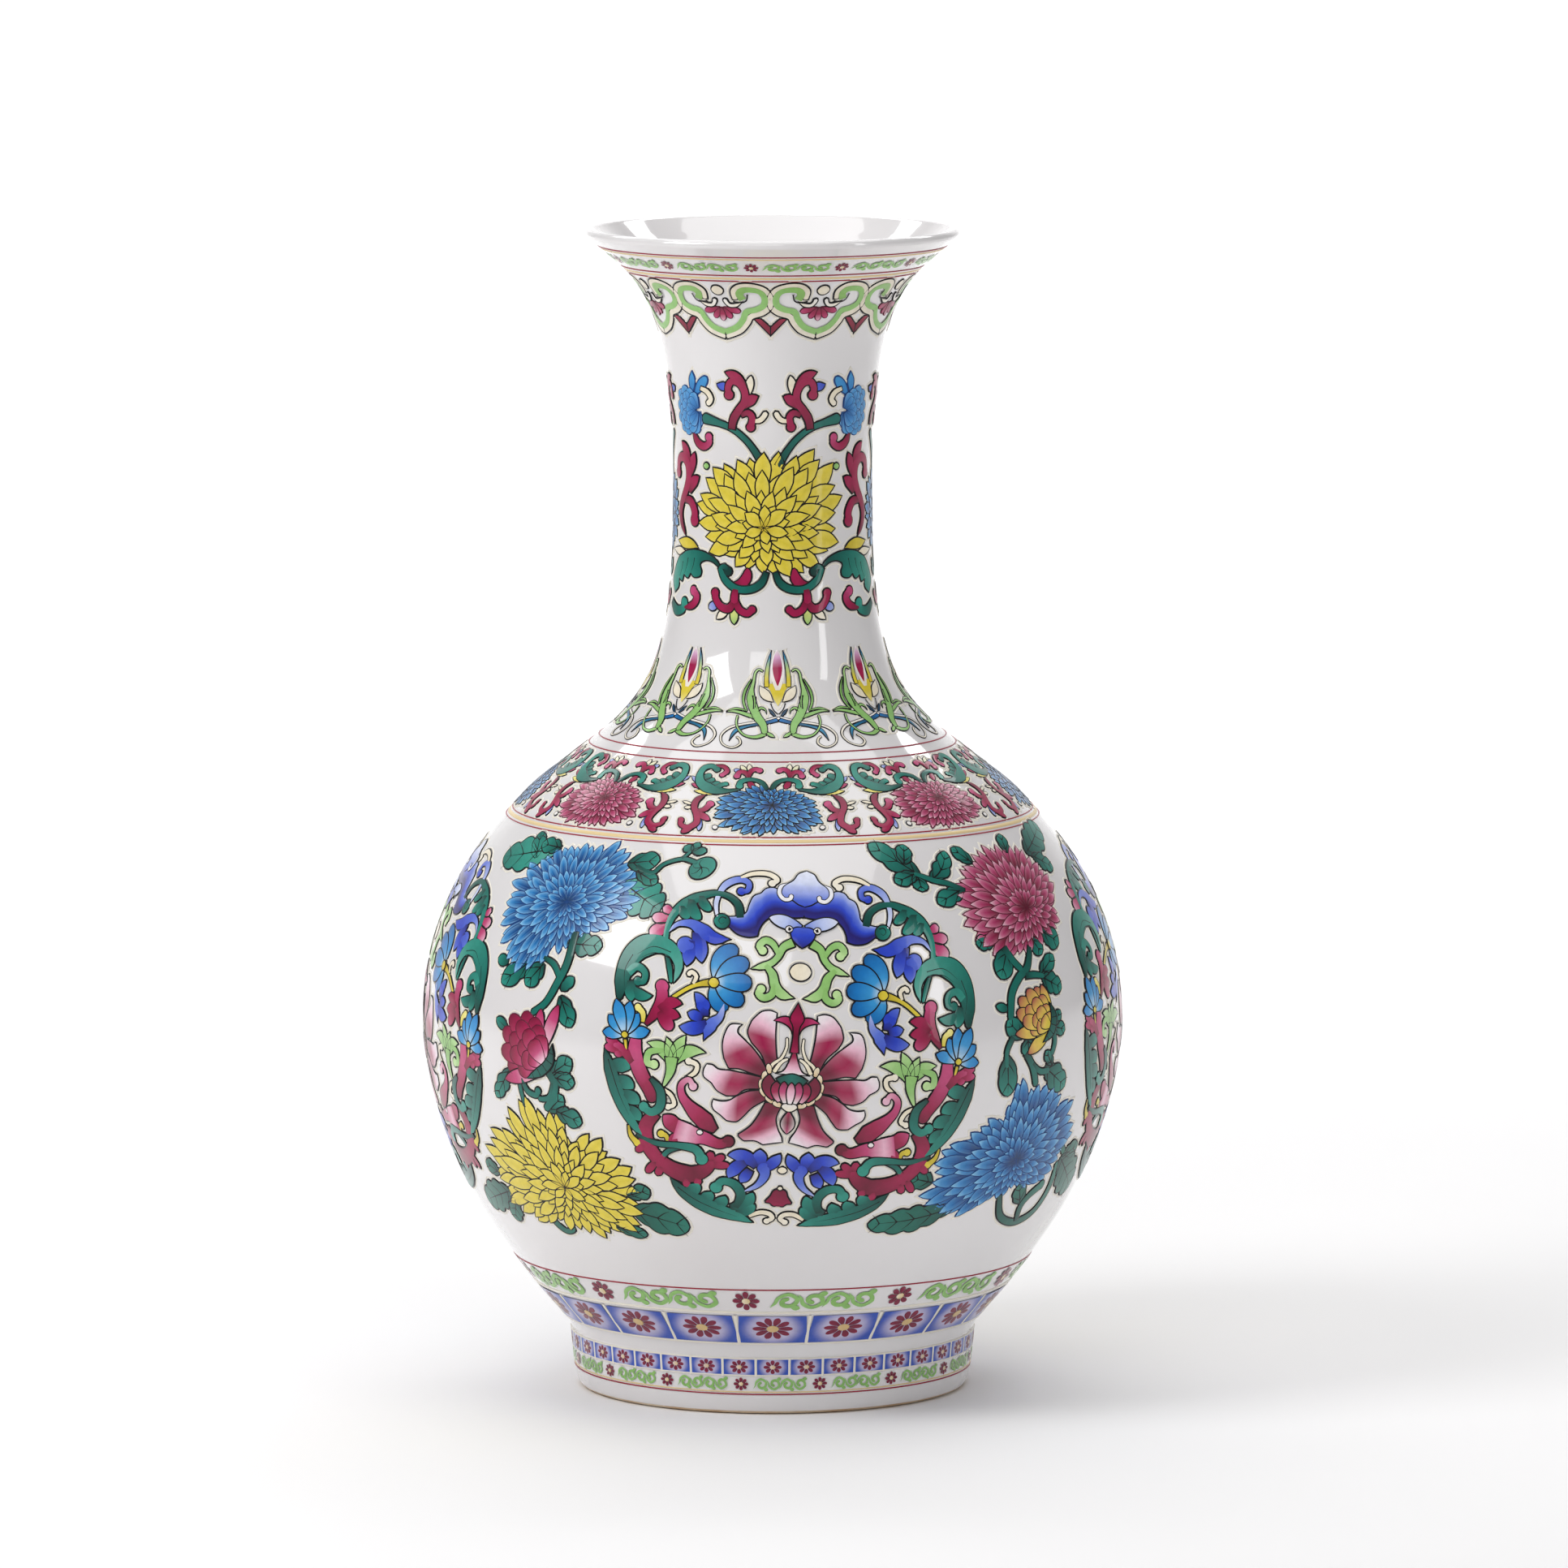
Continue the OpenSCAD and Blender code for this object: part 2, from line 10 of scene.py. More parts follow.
import bpy
import numpy as np
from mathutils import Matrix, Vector


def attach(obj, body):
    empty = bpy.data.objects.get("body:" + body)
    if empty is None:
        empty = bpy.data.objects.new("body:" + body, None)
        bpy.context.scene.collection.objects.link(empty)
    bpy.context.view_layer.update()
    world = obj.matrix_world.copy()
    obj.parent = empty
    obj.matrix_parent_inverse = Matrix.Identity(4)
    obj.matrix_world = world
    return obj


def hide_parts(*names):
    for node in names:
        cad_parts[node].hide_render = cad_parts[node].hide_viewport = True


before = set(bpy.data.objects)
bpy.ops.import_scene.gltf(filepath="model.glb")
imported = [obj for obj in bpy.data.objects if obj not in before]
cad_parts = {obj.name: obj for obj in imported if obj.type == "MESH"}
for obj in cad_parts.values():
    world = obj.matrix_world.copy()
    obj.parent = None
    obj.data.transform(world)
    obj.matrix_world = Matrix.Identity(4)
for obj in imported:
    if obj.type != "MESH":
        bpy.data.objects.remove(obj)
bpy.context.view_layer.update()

MM = 0.001

# ---------------------------------------------------------------- outline of the vase

# Knots of the glazed outline from the foot to the lip, as (radius, height), the same as the CAD's.
OUTLINE_KNOTS = [
    (73.2, 21.5), (76.2, 27), (84, 36), (96, 51.5), (108, 70), (118, 92), (124.4, 115),
    (126.5, 137), (123.8, 159), (115.8, 181), (103.8, 200), (88.6, 217), (70.8, 231.5),
    (54.6, 245), (44.5, 259.5), (39, 277), (36.3, 299), (35.5, 325), (36.2, 350),
    (38.6, 371), (42, 387), (47.2, 399), (54.2, 407.5), (61, 413.4), (66.6, 417.9),
]
# Outside of the foot ring, from the biscuit edge up to the body.
FOOT_SIDE = [(70.4, 1.1), (71.4, 3), (71.9, 7), (72.55, 14), (73.2, 20.9)]
GLAZE = 0.3
BELLY_WALL = 5.0
LIP_WALL = 2.8
THINNING_FROM = 13
FLOOR_HEIGHT = 17.3


def smooth_path(points, per_span=12):
    """Uniform Catmull-Rom curve through the points."""
    p = np.asarray(points, float)
    p = np.vstack([p[:1], p, p[-1:]])
    t = np.linspace(0, 1, per_span, endpoint=False)[:, None]
    spans = []
    for a, b, c, d in zip(p[:-3], p[1:-2], p[2:-1], p[3:]):
        bend = (c - a) + t * ((2 * a - 5 * b + 4 * c - d) + t * (3 * (b - c) + d - a))
        spans.append(b + 0.5 * t * bend)
    return np.vstack(spans + [p[-1:]])


def arc_lengths(path):
    """Distance along a path at each of its points."""
    steps = np.hypot(*np.diff(path, axis=0).T)
    return np.concatenate([[0.0], np.cumsum(steps)])


def outward_normals(path):
    """Unit normals of an outline that runs upwards, pointing away from the axis."""
    along = np.gradient(path, axis=0)
    along /= np.hypot(along[:, 0], along[:, 1])[:, None]
    return np.stack([along[:, 1], -along[:, 0]], axis=1)


body_outline = smooth_path(OUTLINE_KNOTS)
body_normals = outward_normals(body_outline)
skin = np.vstack([np.asarray(FOOT_SIDE, float), body_outline])
skin_normals = np.vstack([outward_normals(np.asarray(FOOT_SIDE, float)), body_normals])
skin_lengths = arc_lengths(skin)


def lay_on_vase(points, turn, height, lean):
    """Flat points (x, y, rise) in mm, laid on the glaze round the point at that turn and height."""
    tilt = math.radians(lean)
    x = points[:, 0] * math.cos(tilt) + points[:, 1] * math.sin(tilt)
    y = points[:, 1] * math.cos(tilt) - points[:, 0] * math.sin(tilt)
    s = np.interp(height, skin[:, 1], skin_lengths) + y
    radius = np.interp(s, skin_lengths, skin[:, 0])
    z = np.interp(s, skin_lengths, skin[:, 1])
    out_r = np.interp(s, skin_lengths, skin_normals[:, 0])
    out_z = np.interp(s, skin_lengths, skin_normals[:, 1])
    angle = math.radians(turn) + x / radius
    radius = radius + points[:, 2] * out_r
    z = z + points[:, 2] * out_z
    return np.stack([radius * np.sin(angle), -radius * np.cos(angle), z], axis=1) * MM


# ---------------------------------------------------------------- colours and materials


def rgb(code):
    """Linear colour of an sRGB hex code."""
    channels = [int(code[i : i + 2], 16) / 255 for i in (1, 3, 5)]
    return np.array([c / 12.92 if c <= 0.04045 else ((c + 0.055) / 1.055) ** 2.4 for c in channels])


WHITE = rgb("#f3efec")
CREAM = rgb("#f2e8cf")
INK = rgb("#0c0a0e")
RED = rgb("#9c2436")
MAROONS = [rgb("#6d0a2e"), rgb("#86103a")]
ROSE_DEEP = rgb("#6f0a2e")
ROSE = rgb("#a0174a")
ROSE_MID = rgb("#c4487a")
ROSE_PALE = rgb("#edb9cd")
BLUE_DEEP = rgb("#0f5c9e")
BLUE = rgb("#1878c0")
BLUE_MID = rgb("#3c9ad6")
BLUE_PALE = rgb("#bfe0f0")
COBALT_DEEP = rgb("#20206f")
COBALT = rgb("#2a44c4")
COBALT_MID = rgb("#5f78d8")
COBALT_PALE = rgb("#b9c6ee")
TEAL_DEEP = rgb("#073a34")
TEAL = rgb("#126d61")
TEAL_MID = rgb("#2e9382")
GREEN = rgb("#93c573")
GREEN_PALE = rgb("#bfe09c")
YELLOW_DEEP = rgb("#bda428")
YELLOW = rgb("#dfca3e")
YELLOW_PALE = rgb("#f3e88a")
BLUE_INK = rgb("#123f7c")
ROSE_INK = rgb("#5e0b2b")

# Runs of tones, from the base of a shape to its tip.
ROSES = [ROSE_DEEP, ROSE, ROSE]
ROSES_LIGHT = [ROSE_DEEP, ROSE, ROSE_MID]
TEALS = [TEAL_DEEP, TEAL, TEAL_MID]
GREENS = [rgb("#8fc06b"), GREEN, GREEN_PALE]
COBALTS = [COBALT_DEEP, COBALT, COBALT_MID]
CREAMS = [rgb("#efe2c4"), rgb("#f4ecda")]
YELLOWS = [YELLOW_DEEP, YELLOW, YELLOW]
BLUE_PETALS = [rgb("#02305e"), rgb("#02305e"), rgb("#044a8c"), rgb("#1a7cc0"), rgb("#9ad6f2")]
ROSE_PETALS = [rgb("#5c0522"), rgb("#5c0522"), rgb("#86103c"), rgb("#bd4274"), rgb("#f6d6e0")]
DARK_LEAF = [rgb("#0d4a42"), rgb("#166556"), rgb("#227a69")]

# The tones that each enamel has unless a shape is given its own.
USUAL_TONES = {"rose": ROSES, "teal": TEALS, "light_green": GREENS, "yellow": YELLOWS, "cream": CREAMS}


def new_material(name, colour, roughness, coat=0.0, coat_roughness=0.03, specular=0.5):
    """A Principled material with plain values on its own sockets."""
    material = bpy.data.materials.new(name)
    material.use_nodes = True
    shader = material.node_tree.nodes["Principled BSDF"]
    shader.inputs["Base Color"].default_value = (*colour, 1)
    shader.inputs["Roughness"].default_value = roughness
    shader.inputs["Coat Weight"].default_value = coat
    shader.inputs["Coat Roughness"].default_value = coat_roughness
    shader.inputs["Specular IOR Level"].default_value = specular
    return material, shader


def add_noise(material, scale, detail=4.0, roughness=0.5):
    """A noise texture in object space."""
    nodes = material.node_tree.nodes
    links = material.node_tree.links
    place = nodes.new("ShaderNodeTexCoord")
    noise = nodes.new("ShaderNodeTexNoise")
    noise.inputs["Scale"].default_value = scale
    noise.inputs["Detail"].default_value = detail
    noise.inputs["Roughness"].default_value = roughness
    links.new(place.outputs["Object"], noise.inputs["Vector"])
    return noise


def add_bump(material, shader, noise, strength, distance):
    """Bump from a noise texture."""
    nodes = material.node_tree.nodes
    links = material.node_tree.links
    bump = nodes.new("ShaderNodeBump")
    bump.inputs["Strength"].default_value = strength
    bump.inputs["Distance"].default_value = distance
    links.new(noise.outputs["Fac"], bump.inputs["Height"])
    links.new(bump.outputs["Normal"], shader.inputs["Normal"])
    return bump


def tint_with_noise(material, shader, noise, low, high):
    """Base colour that drifts between two close tones."""
    nodes = material.node_tree.nodes
    links = material.node_tree.links
    ramp = nodes.new("ShaderNodeValToRGB")
    ramp.color_ramp.elements[0].position = 0.3
    ramp.color_ramp.elements[0].color = (*low, 1)
    ramp.color_ramp.elements[1].position = 0.7
    ramp.color_ramp.elements[1].color = (*high, 1)
    links.new(noise.outputs["Fac"], ramp.inputs["Fac"])
    links.new(ramp.outputs["Color"], shader.inputs["Base Color"])


def glaze_material():
    """Clear glaze over white porcelain: cool white, faintly uneven, mirror-smooth with slight pull."""
    material, shader = new_material("glazed_porcelain", rgb("#e6e3e3"), roughness=0.09, coat=1.0,
                                    coat_roughness=0.02)
    shader.inputs["IOR"].default_value = 1.5
    tint_with_noise(material, shader, add_noise(material, scale=9, detail=3), rgb("#e4e0e0"),
                    rgb("#e9e7e7"))
    add_bump(material, shader, add_noise(material, scale=34, detail=2), strength=0.05, distance=0.0006)
    return material


def biscuit_material():
    """Bare fired porcelain of the foot, warm at its edge and slightly grainy."""
    material, shader = new_material("biscuit", rgb("#d9c3a4"), roughness=0.7)
    tint_with_noise(material, shader, add_noise(material, scale=60, detail=6), rgb("#c7a27a"),
                    rgb("#e2d3bc"))
    add_bump(material, shader, add_noise(material, scale=900, detail=4), strength=0.4, distance=0.0003)
    return material


def slip_material():
    """Grey-white clay slip in the luted joints."""
    material, shader = new_material("slip", rgb("#cfc8bd"), roughness=0.85)
    tint_with_noise(material, shader, add_noise(material, scale=120, detail=5), rgb("#c4bcae"),
                    rgb("#d8d2c8"))
    add_bump(material, shader, add_noise(material, scale=700, detail=4), strength=0.3, distance=0.0003)
    return material


def shaded_enamel_material():
    """Enamel painted in soft gradients, whose colours are held in the mesh as Col."""
    material, shader = new_material("painted_enamel", rgb("#808080"), roughness=0.3, coat=0.4,
                                    coat_roughness=0.04, specular=0.25)
    nodes = material.node_tree.nodes
    links = material.node_tree.links
    painted = nodes.new("ShaderNodeAttribute")
    painted.attribute_name = "Col"
    grain = add_noise(material, scale=420, detail=5, roughness=0.6)
    tone = nodes.new("ShaderNodeMapRange")
    tone.inputs["From Min"].default_value = 0.25
    tone.inputs["From Max"].default_value = 0.75
    tone.inputs["To Min"].default_value = 0.9
    tone.inputs["To Max"].default_value = 1.1
    scale = nodes.new("ShaderNodeVectorMath")
    scale.operation = "SCALE"
    links.new(grain.outputs["Fac"], tone.inputs["Value"])
    links.new(painted.outputs["Color"], scale.inputs[0])
    links.new(tone.outputs["Result"], scale.inputs["Scale"])
    links.new(scale.outputs["Vector"], shader.inputs["Base Color"])
    add_bump(material, shader, add_noise(material, scale=260, detail=3), strength=0.15, distance=0.0005)
    return material


def plain_enamel_material(name, colour, roughness=0.2, grain=0.2):
    """One fired colour with a fine uneven surface, for lines and beads."""
    material, shader = new_material(name, colour, roughness, coat=0.15, coat_roughness=0.05, specular=0.2)
    add_bump(material, shader, add_noise(material, scale=500, detail=4), strength=grain, distance=0.0003)
    return material


PAINTED = shaded_enamel_material()
INKS = {
    "ink": plain_enamel_material("ink_line", INK, 0.3),
    "blue_ink": plain_enamel_material("blue_ink_line", BLUE_INK, 0.3),
    "rose_ink": plain_enamel_material("rose_ink_line", ROSE_INK, 0.3),
    "bead": plain_enamel_material("cream_bead", rgb("#efe9dc"), 0.25, 0.4),
    "red_line": plain_enamel_material("red_line", RED, 0.3),
    "gold_line": plain_enamel_material("gold_line", rgb("#e8cf9c"), 0.28, 0.3),
}
GLAZED = glaze_material()
BISCUIT = biscuit_material()
SLIP = slip_material()

# ---------------------------------------------------------------- meshes

# Flat sides of a surface of revolution.
SIDES = 288


def new_piece(name, vertices, quads, material, colours=None, stands_for=()):
    """A smooth mesh object in metres that rides on the root body."""
    mesh = bpy.data.meshes.new(name)
    quads = np.asarray(quads, np.int32)
    mesh.vertices.add(len(vertices))
    mesh.vertices.foreach_set("co", np.asarray(vertices, np.float32).ravel())
    mesh.loops.add(quads.size)
    mesh.loops.foreach_set("vertex_index", quads.ravel())
    mesh.polygons.add(len(quads))
    mesh.polygons.foreach_set("loop_start", np.arange(0, quads.size, 4, dtype=np.int32))
    mesh.polygons.foreach_set("use_smooth", np.ones(len(quads), bool))
    mesh.update(calc_edges=True)
    mesh.validate()
    if colours is not None:
        layer = mesh.color_attributes.new("Col", "FLOAT_COLOR", "POINT")
        rgba = np.hstack([colours, np.ones((len(colours), 1))]).astype(np.float32)
        layer.data.foreach_set("color", rgba.ravel())
    mesh.materials.append(material)
    piece = bpy.data.objects.new(name, mesh)
    bpy.context.scene.collection.objects.link(piece)
    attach(piece, "root")
    if stands_for:
        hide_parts(*stands_for)
    return piece


def grid_quads(rows, columns, closed=False):
    """Quads of a grid of points stored row by row; closed joins the last row to the first."""
    i = np.arange(rows if closed else rows - 1)[:, None]
    j = np.arange(columns - 1)[None, :]
    a = i * columns + j
    b = ((i + 1) % rows) * columns + j
    return np.stack([a, b, b + 1, a + 1], axis=-1).reshape(-1, 4)


def revolve(name, profile, material, stands_for=()):
    """A surface of revolution; the profile runs so that its outside is on its right."""
    profile = np.asarray(profile, float)
    angles = np.linspace(0, 2 * math.pi, SIDES, endpoint=False)
    radius, height = profile[:, 0], profile[:, 1]
    x = np.outer(np.sin(angles), radius)
    y = -np.outer(np.cos(angles), radius)
    z = np.tile(height, (SIDES, 1))
    points = np.stack([x, y, z], axis=-1).reshape(-1, 3) * MM
    return new_piece(name, points, grid_quads(SIDES, len(profile), closed=True), material,
                     stands_for=stands_for)


# ---------------------------------------------------------------- drawing with enamel

# Millimetres: width of an ink line, height of a patch, of one layer over another, and of its crown.
INK_WIDTH = 0.5
RISE = 0.3
LAYER = 0.1
DOME = 0.04
# Layers between a shared outline and the patches inside it.
LAYERS_OVER_OUTLINE = 0.8
# Cross-section of the row of cream beads, as distances out from a patch's edge and heights.
BEAD_OFFSETS = [0.5, 0.75, 1.1, 1.25]
BEAD_HEIGHTS = [0.0, 0.2, 0.2, 0.0]
# Points closer together than this are dropped from an outline.
SHORTEST_STEP = 0.02
TINY = 1e-9


def along(points, count):
    """Evenly spaced points on a smooth curve through the given ones; a third item marks a corner."""
    runs = [[points[0][:2]]]
    for p in points[1:]:
        runs[-1].append(p[:2])
        if len(p) == 3:
            runs.append([p[:2]])
    runs = [smooth_path(run, 10) for run in runs if len(run) > 1]
    path = np.vstack([runs[0]] + [run[1:] for run in runs[1:]])
    s = arc_lengths(path)
    at = np.linspace(0, s[-1], count)
    return np.stack([np.interp(at, s, path[:, 0]), np.interp(at, s, path[:, 1])], axis=1)


def path_length(points):
    """Rough length of a list of points."""
    p = np.asarray([q[:2] for q in points], float)
    return float(np.hypot(*np.diff(p, axis=0).T).sum())


def blend(tones, t):
    """Colours of a run of tones at t from 0 to 1."""
    tones = np.asarray(tones, float).reshape(-1, 3)
    if len(tones) == 1:
        return np.repeat(tones, len(np.atleast_1d(t)), axis=0)
    stops = np.linspace(0, 1, len(tones))
    return np.stack([np.interp(t, stops, tones[:, k]) for k in range(3)], axis=-1)


class Drawing:
    """Raised shapes drawn flat, kept apart by enamel, and later laid on the vase."""

    def __init__(self):
        self.matrix = np.eye(3)
        self.level = 0.0
        self.unit = 0.6
        self.beads = True
        self.ink_width = INK_WIDTH
        self.meshes = {}
        self.waiting = None

    @contextmanager
    def at(self, x=0.0, y=0.0, turn=0.0, size=1.0, flip=False, level=0.0):
        """Draws what is inside moved, turned anticlockwise, scaled and mirrored left to right."""
        kept = self.matrix, self.level
        c, s = math.cos(math.radians(turn)) * size, math.sin(math.radians(turn)) * size
        f = -1.0 if flip else 1.0
        self.matrix = self.matrix @ np.array([[c * f, -s, x], [s * f, c, y], [0, 0, 1]])
        self.level = self.level + level
        yield self
        self.matrix, self.level = kept

    def both(self):
        """The right half and its mirror image, one after the other."""
        for flip in (False, True):
            with self.at(flip=flip):
                yield self

    @contextmanager
    def merged(self):
        """Shapes of one colour drawn inside share a single outline, with no ink where they overlap."""
        if self.waiting is not None:
            yield self
            return
        self.waiting = []
        yield self
        calls, self.waiting = self.waiting, None
        layers = [how.get("layer", 0.0) for _, _, _, _, how in calls]
        lift = LAYERS_OVER_OUTLINE + max(layers) - min(layers)
        kept = self.matrix, self.level
        for outline in (True, False):
            for action, matrix, level, args, how in calls:
                self.matrix, self.level = matrix, level
                layer = how.get("layer", 0.0)
                wide = 2 * (how.get("ink_width") or self.ink_width)
                if outline and action == self.fill:
                    action(*args, **{**how, "body": False, "ink_width": wide, "layer": min(layers)})
                elif not outline and action == self.fill:
                    action(*args, **{**how, "ink": None, "beads": False, "layer": layer + lift})
                elif not outline:
                    action(*args, **{**how, "layer": layer + lift})
        self.matrix, self.level = kept

    def wait(self, action, args, how):
        """Keeps a shape for later while merged() is open."""
        if self.waiting is None:
            return False
        self.waiting.append((action, self.matrix, self.level, args, how))
        return True

    def moved(self, points):
        """Points of the current place in the drawing's own millimetres."""
        return points @ self.matrix[:2, :2].T + self.matrix[:2, 2]

    def keep(self, kind, vertices, quads, colours=None):
        """Adds a mesh to one kind of piece."""
        store = self.meshes.setdefault(kind, ([], [], [], [0]))
        first = store[3][0]
        store[0].append(vertices)
        store[1].append(quads + first)
        if colours is not None:
            store[2].append(colours)
        store[3][0] = first + len(vertices)

    def ribbon(self, kind, loop, offsets, heights, closed=True, widths=None):
        """A raised band along a path, with its cross-section given by offsets and heights."""
        if closed:
            before, after = np.roll(loop, 1, axis=0), np.roll(loop, -1, axis=0)
        else:
            before = np.vstack([loop[:1], loop[:-1]])
            after = np.vstack([loop[1:], loop[-1:]])
        into, out = loop - before, after - loop
        into /= np.maximum(np.hypot(into[:, 0], into[:, 1]), TINY)[:, None]
        out /= np.maximum(np.hypot(out[:, 0], out[:, 1]), TINY)[:, None]
        mean = into + out
        size = np.hypot(mean[:, 0], mean[:, 1])
        mean[size < 0.3] = out[size < 0.3]
        mean /= np.maximum(np.hypot(mean[:, 0], mean[:, 1]), TINY)[:, None]
        normal = np.stack([mean[:, 1], -mean[:, 0]], axis=1)
        if closed and signed_area(loop) < 0:
            normal = -normal
        stretch = np.clip(2 / np.maximum(size, 0.5), 1, 1.6)
        rows = []
        for offset, height in zip(offsets, heights):
            reach = offset * stretch
            if widths is not None:
                reach = reach * widths
            flat = loop + normal * reach[:, None]
            rows.append(np.column_stack([flat, np.full(len(loop), height)]))
        vertices = np.stack(rows, axis=1).reshape(-1, 3)
        quads = grid_quads(len(loop), len(offsets), closed=closed)
        if not closed or signed_area(loop) > 0:
            quads = quads[:, ::-1]
        self.keep(kind, vertices, quads)

    def fill(self, enamel, a, b, tones, **how):
        """An enamelled patch between two sides that run from its base to its tip, inked round."""
        tones = USUAL_TONES[enamel] if tones is None else tones
        if not self.wait(self.fill, (enamel, a, b, tones), how):
            self.lay_fill(enamel, a, b, tones, **how)

    def lay_fill(self, enamel, a, b, tones, edge=None, edge_share=0.0, across=5, ink="ink", beads=None,
                 layer=0.0, dome=DOME, ink_width=None, paint=None, side_tones=None, body=True):
        """Meshes of one fill: the patch, its ink line and its row of beads."""
        own = a[:, None, :] + (b - a)[:, None, :] * np.linspace(0, 1, across)[None, :, None]
        if np.linalg.det(self.matrix[:2, :2]) < 0:
            own = own[:, ::-1]
        a, b = self.moved(a), self.moved(b)
        loop = np.vstack([a, b[::-1]])
        gap = np.hypot(*(loop - np.roll(loop, 1, axis=0)).T)
        loop = loop[gap > SHORTEST_STEP]
        if np.linalg.det(self.matrix[:2, :2]) < 0:
            a, b = b, a
        lift = RISE + self.level + layer * LAYER
        v = np.linspace(0, 1, across)
        flat = a[:, None, :] * (1 - v)[None, :, None] + b[:, None, :] * v[None, :, None]
        arch = lift + dome * 4 * v * (1 - v)
        height = np.broadcast_to(arch, flat.shape[:2])
        vertices = np.concatenate([flat, height[..., None]], axis=2).reshape(-1, 3)
        t = np.linspace(0, 1, len(a))
        colour = np.repeat(blend(tones, t)[:, None, :], across, axis=1)
        if edge is not None:
            share = (edge_share * np.abs(2 * v - 1) ** 1.5)[None, :, None] * np.minimum(1.6 * t, 1)[:, None,
                None]
            colour = colour * (1 - share) + edge * share
        if side_tones is not None:
            shades = blend(side_tones, v if np.linalg.det(self.matrix[:2, :2]) > 0 else 1 - v)
            colour = np.repeat(shades[None, :, :], len(a), axis=0)
        if paint is not None:
            colour = paint(own.reshape(-1, 2))
        quads = grid_quads(len(a), across)
        if signed_area(np.vstack([a, b[::-1]])) > 0:
            quads = quads[:, ::-1]
        if body:
            self.keep(enamel, vertices, quads, colour.reshape(-1, 3))
        if ink:
            w = (ink_width or self.ink_width) / 2
            self.ribbon(ink, loop, [-w, 0, w, w + 0.06],
                        [lift + 0.02, lift + 0.05, lift + 0.01, 0.0])
        if self.beads if beads is None else beads:
            self.ribbon("bead", loop, BEAD_OFFSETS, BEAD_HEIGHTS)

    def line(self, points, width=0.36, kind="ink", layer=0.0, taper=True, count=None):
        """A drawn line, such as a vein, on top of a fill."""
        how = {"width": width, "kind": kind, "layer": layer, "taper": taper, "count": count}
        if self.wait(self.line, (points,), how):
            return
        count = count or int(np.clip(path_length(points) / self.unit, 4, 30))
        path = self.moved(along(points, count))
        widths = np.ones(count)
        if taper:
            widths = np.clip(np.minimum(1.0, np.linspace(1.6, 0.15, count)), 0.15, 1)
        lift = RISE + self.level + layer * LAYER + DOME
        w = width / 2
        self.ribbon(kind, path, [-w, 0, w], [lift - 0.01, lift + 0.03, lift - 0.01], closed=False,
                    widths=widths)

    def band(self, enamel, a, b, tones=None, **how):
        """A fill between two curves, each given by a few points."""
        longest = max(path_length(a), path_length(b))
        count = how.pop("count", None) or int(np.clip(longest / self.unit, 8, 64))
        self.fill(enamel, along(a, count), along(b, count), tones, **how)

    def stroke(self, enamel, points, widths, tones=None, start="flat", end="round", **how):
        """A brush stroke of changing width along a curve, such as a stem, scroll or tendril."""
        length = path_length(points)
        count = how.pop("count", None) or int(np.clip(length / self.unit * 1.1, 9, 60))
        ease = (1 - np.cos(np.linspace(0, math.pi, count))) / 2 * 0.5 + np.linspace(0, 1, count) * 0.5
        fine = along(points, 160)
        s = arc_lengths(fine)
        s /= s[-1]
        spine = np.stack([np.interp(ease, s, fine[:, 0]), np.interp(ease, s, fine[:, 1])], axis=1)
        stops = np.linspace(0, 1, len(widths))
        half = np.interp(ease, stops, widths) / 2
        for kind, from_end in ((start, ease), (end, 1 - ease)):
            if kind == "round":
                near = np.clip(from_end * length / np.maximum(half, 0.05), 0, 1)
                half = half * np.sqrt(1 - (1 - near) ** 2)
            if kind == "point":
                half = half * np.clip(from_end * length / 2.5, 0, 1) ** 0.7
        direction = np.gradient(spine, axis=0)
        direction /= np.maximum(np.hypot(direction[:, 0], direction[:, 1]), TINY)[:, None]
        side = np.stack([-direction[:, 1], direction[:, 0]], axis=1) * half[:, None]
        self.fill(enamel, spine + side, spine - side, tones, across=how.pop("across", 4), **how)

    def petal(self, enamel, base, tip, width, tones=None, bend=0.0, waist=0.35, widest=0.55, point=0.8,
              count=None, lobes=0, lobe_depth=0.25, **how):
        """A petal or plain leaf from base to tip; point is low for a round tip and high for a sharp one."""
        base, tip = np.asarray(base, float), np.asarray(tip, float)
        run = tip - base
        length = float(np.hypot(*run))
        count = count or int(np.clip(length / self.unit * 1.1, 7, 34))
        t = (1 - np.cos(np.linspace(0, math.pi, count))) / 2 * 0.4 + np.linspace(0, 1, count) * 0.6
        aside = np.array([-run[1], run[0]])
        spine = base + run * t[:, None] + aside * (bend * 4 * t * (1 - t))[:, None]
        rising = waist + (1 - waist) * np.sin(np.clip(t / widest, 0, 1) * math.pi / 2)
        falling = np.cos(np.clip((t - widest) / (1 - widest), 0, 1) * math.pi / 2)
        half = width / 2 * np.where(t < widest, rising, np.maximum(falling, 0) ** point)
        if lobes:
            scallop = np.abs(np.sin(math.pi * lobes * np.clip(t, 0, 1) ** 0.9)) ** 0.6
            half = half * (1 - lobe_depth + lobe_depth * scallop)
        direction = np.gradient(spine, axis=0)
        direction /= np.maximum(np.hypot(direction[:, 0], direction[:, 1]), TINY)[:, None]
        side = np.stack([-direction[:, 1], direction[:, 0]], axis=1) * half[:, None]
        self.fill(enamel, spine + side, spine - side, tones, **how)

    def disc(self, enamel, x, y, radius, tones=None, tall=1.0, count=None, **how):
        """A round or oval spot."""
        count = count or int(np.clip(radius * 3.2 / self.unit, 8, 24))
        angle = np.linspace(math.pi, 0, count)
        a = np.stack([x + radius * np.cos(angle), y + radius * tall * np.sin(angle)], axis=1)
        b = np.stack([x + radius * np.cos(angle), y - radius * tall * np.sin(angle)], axis=1)
        self.fill(enamel, a, b, tones, **how)


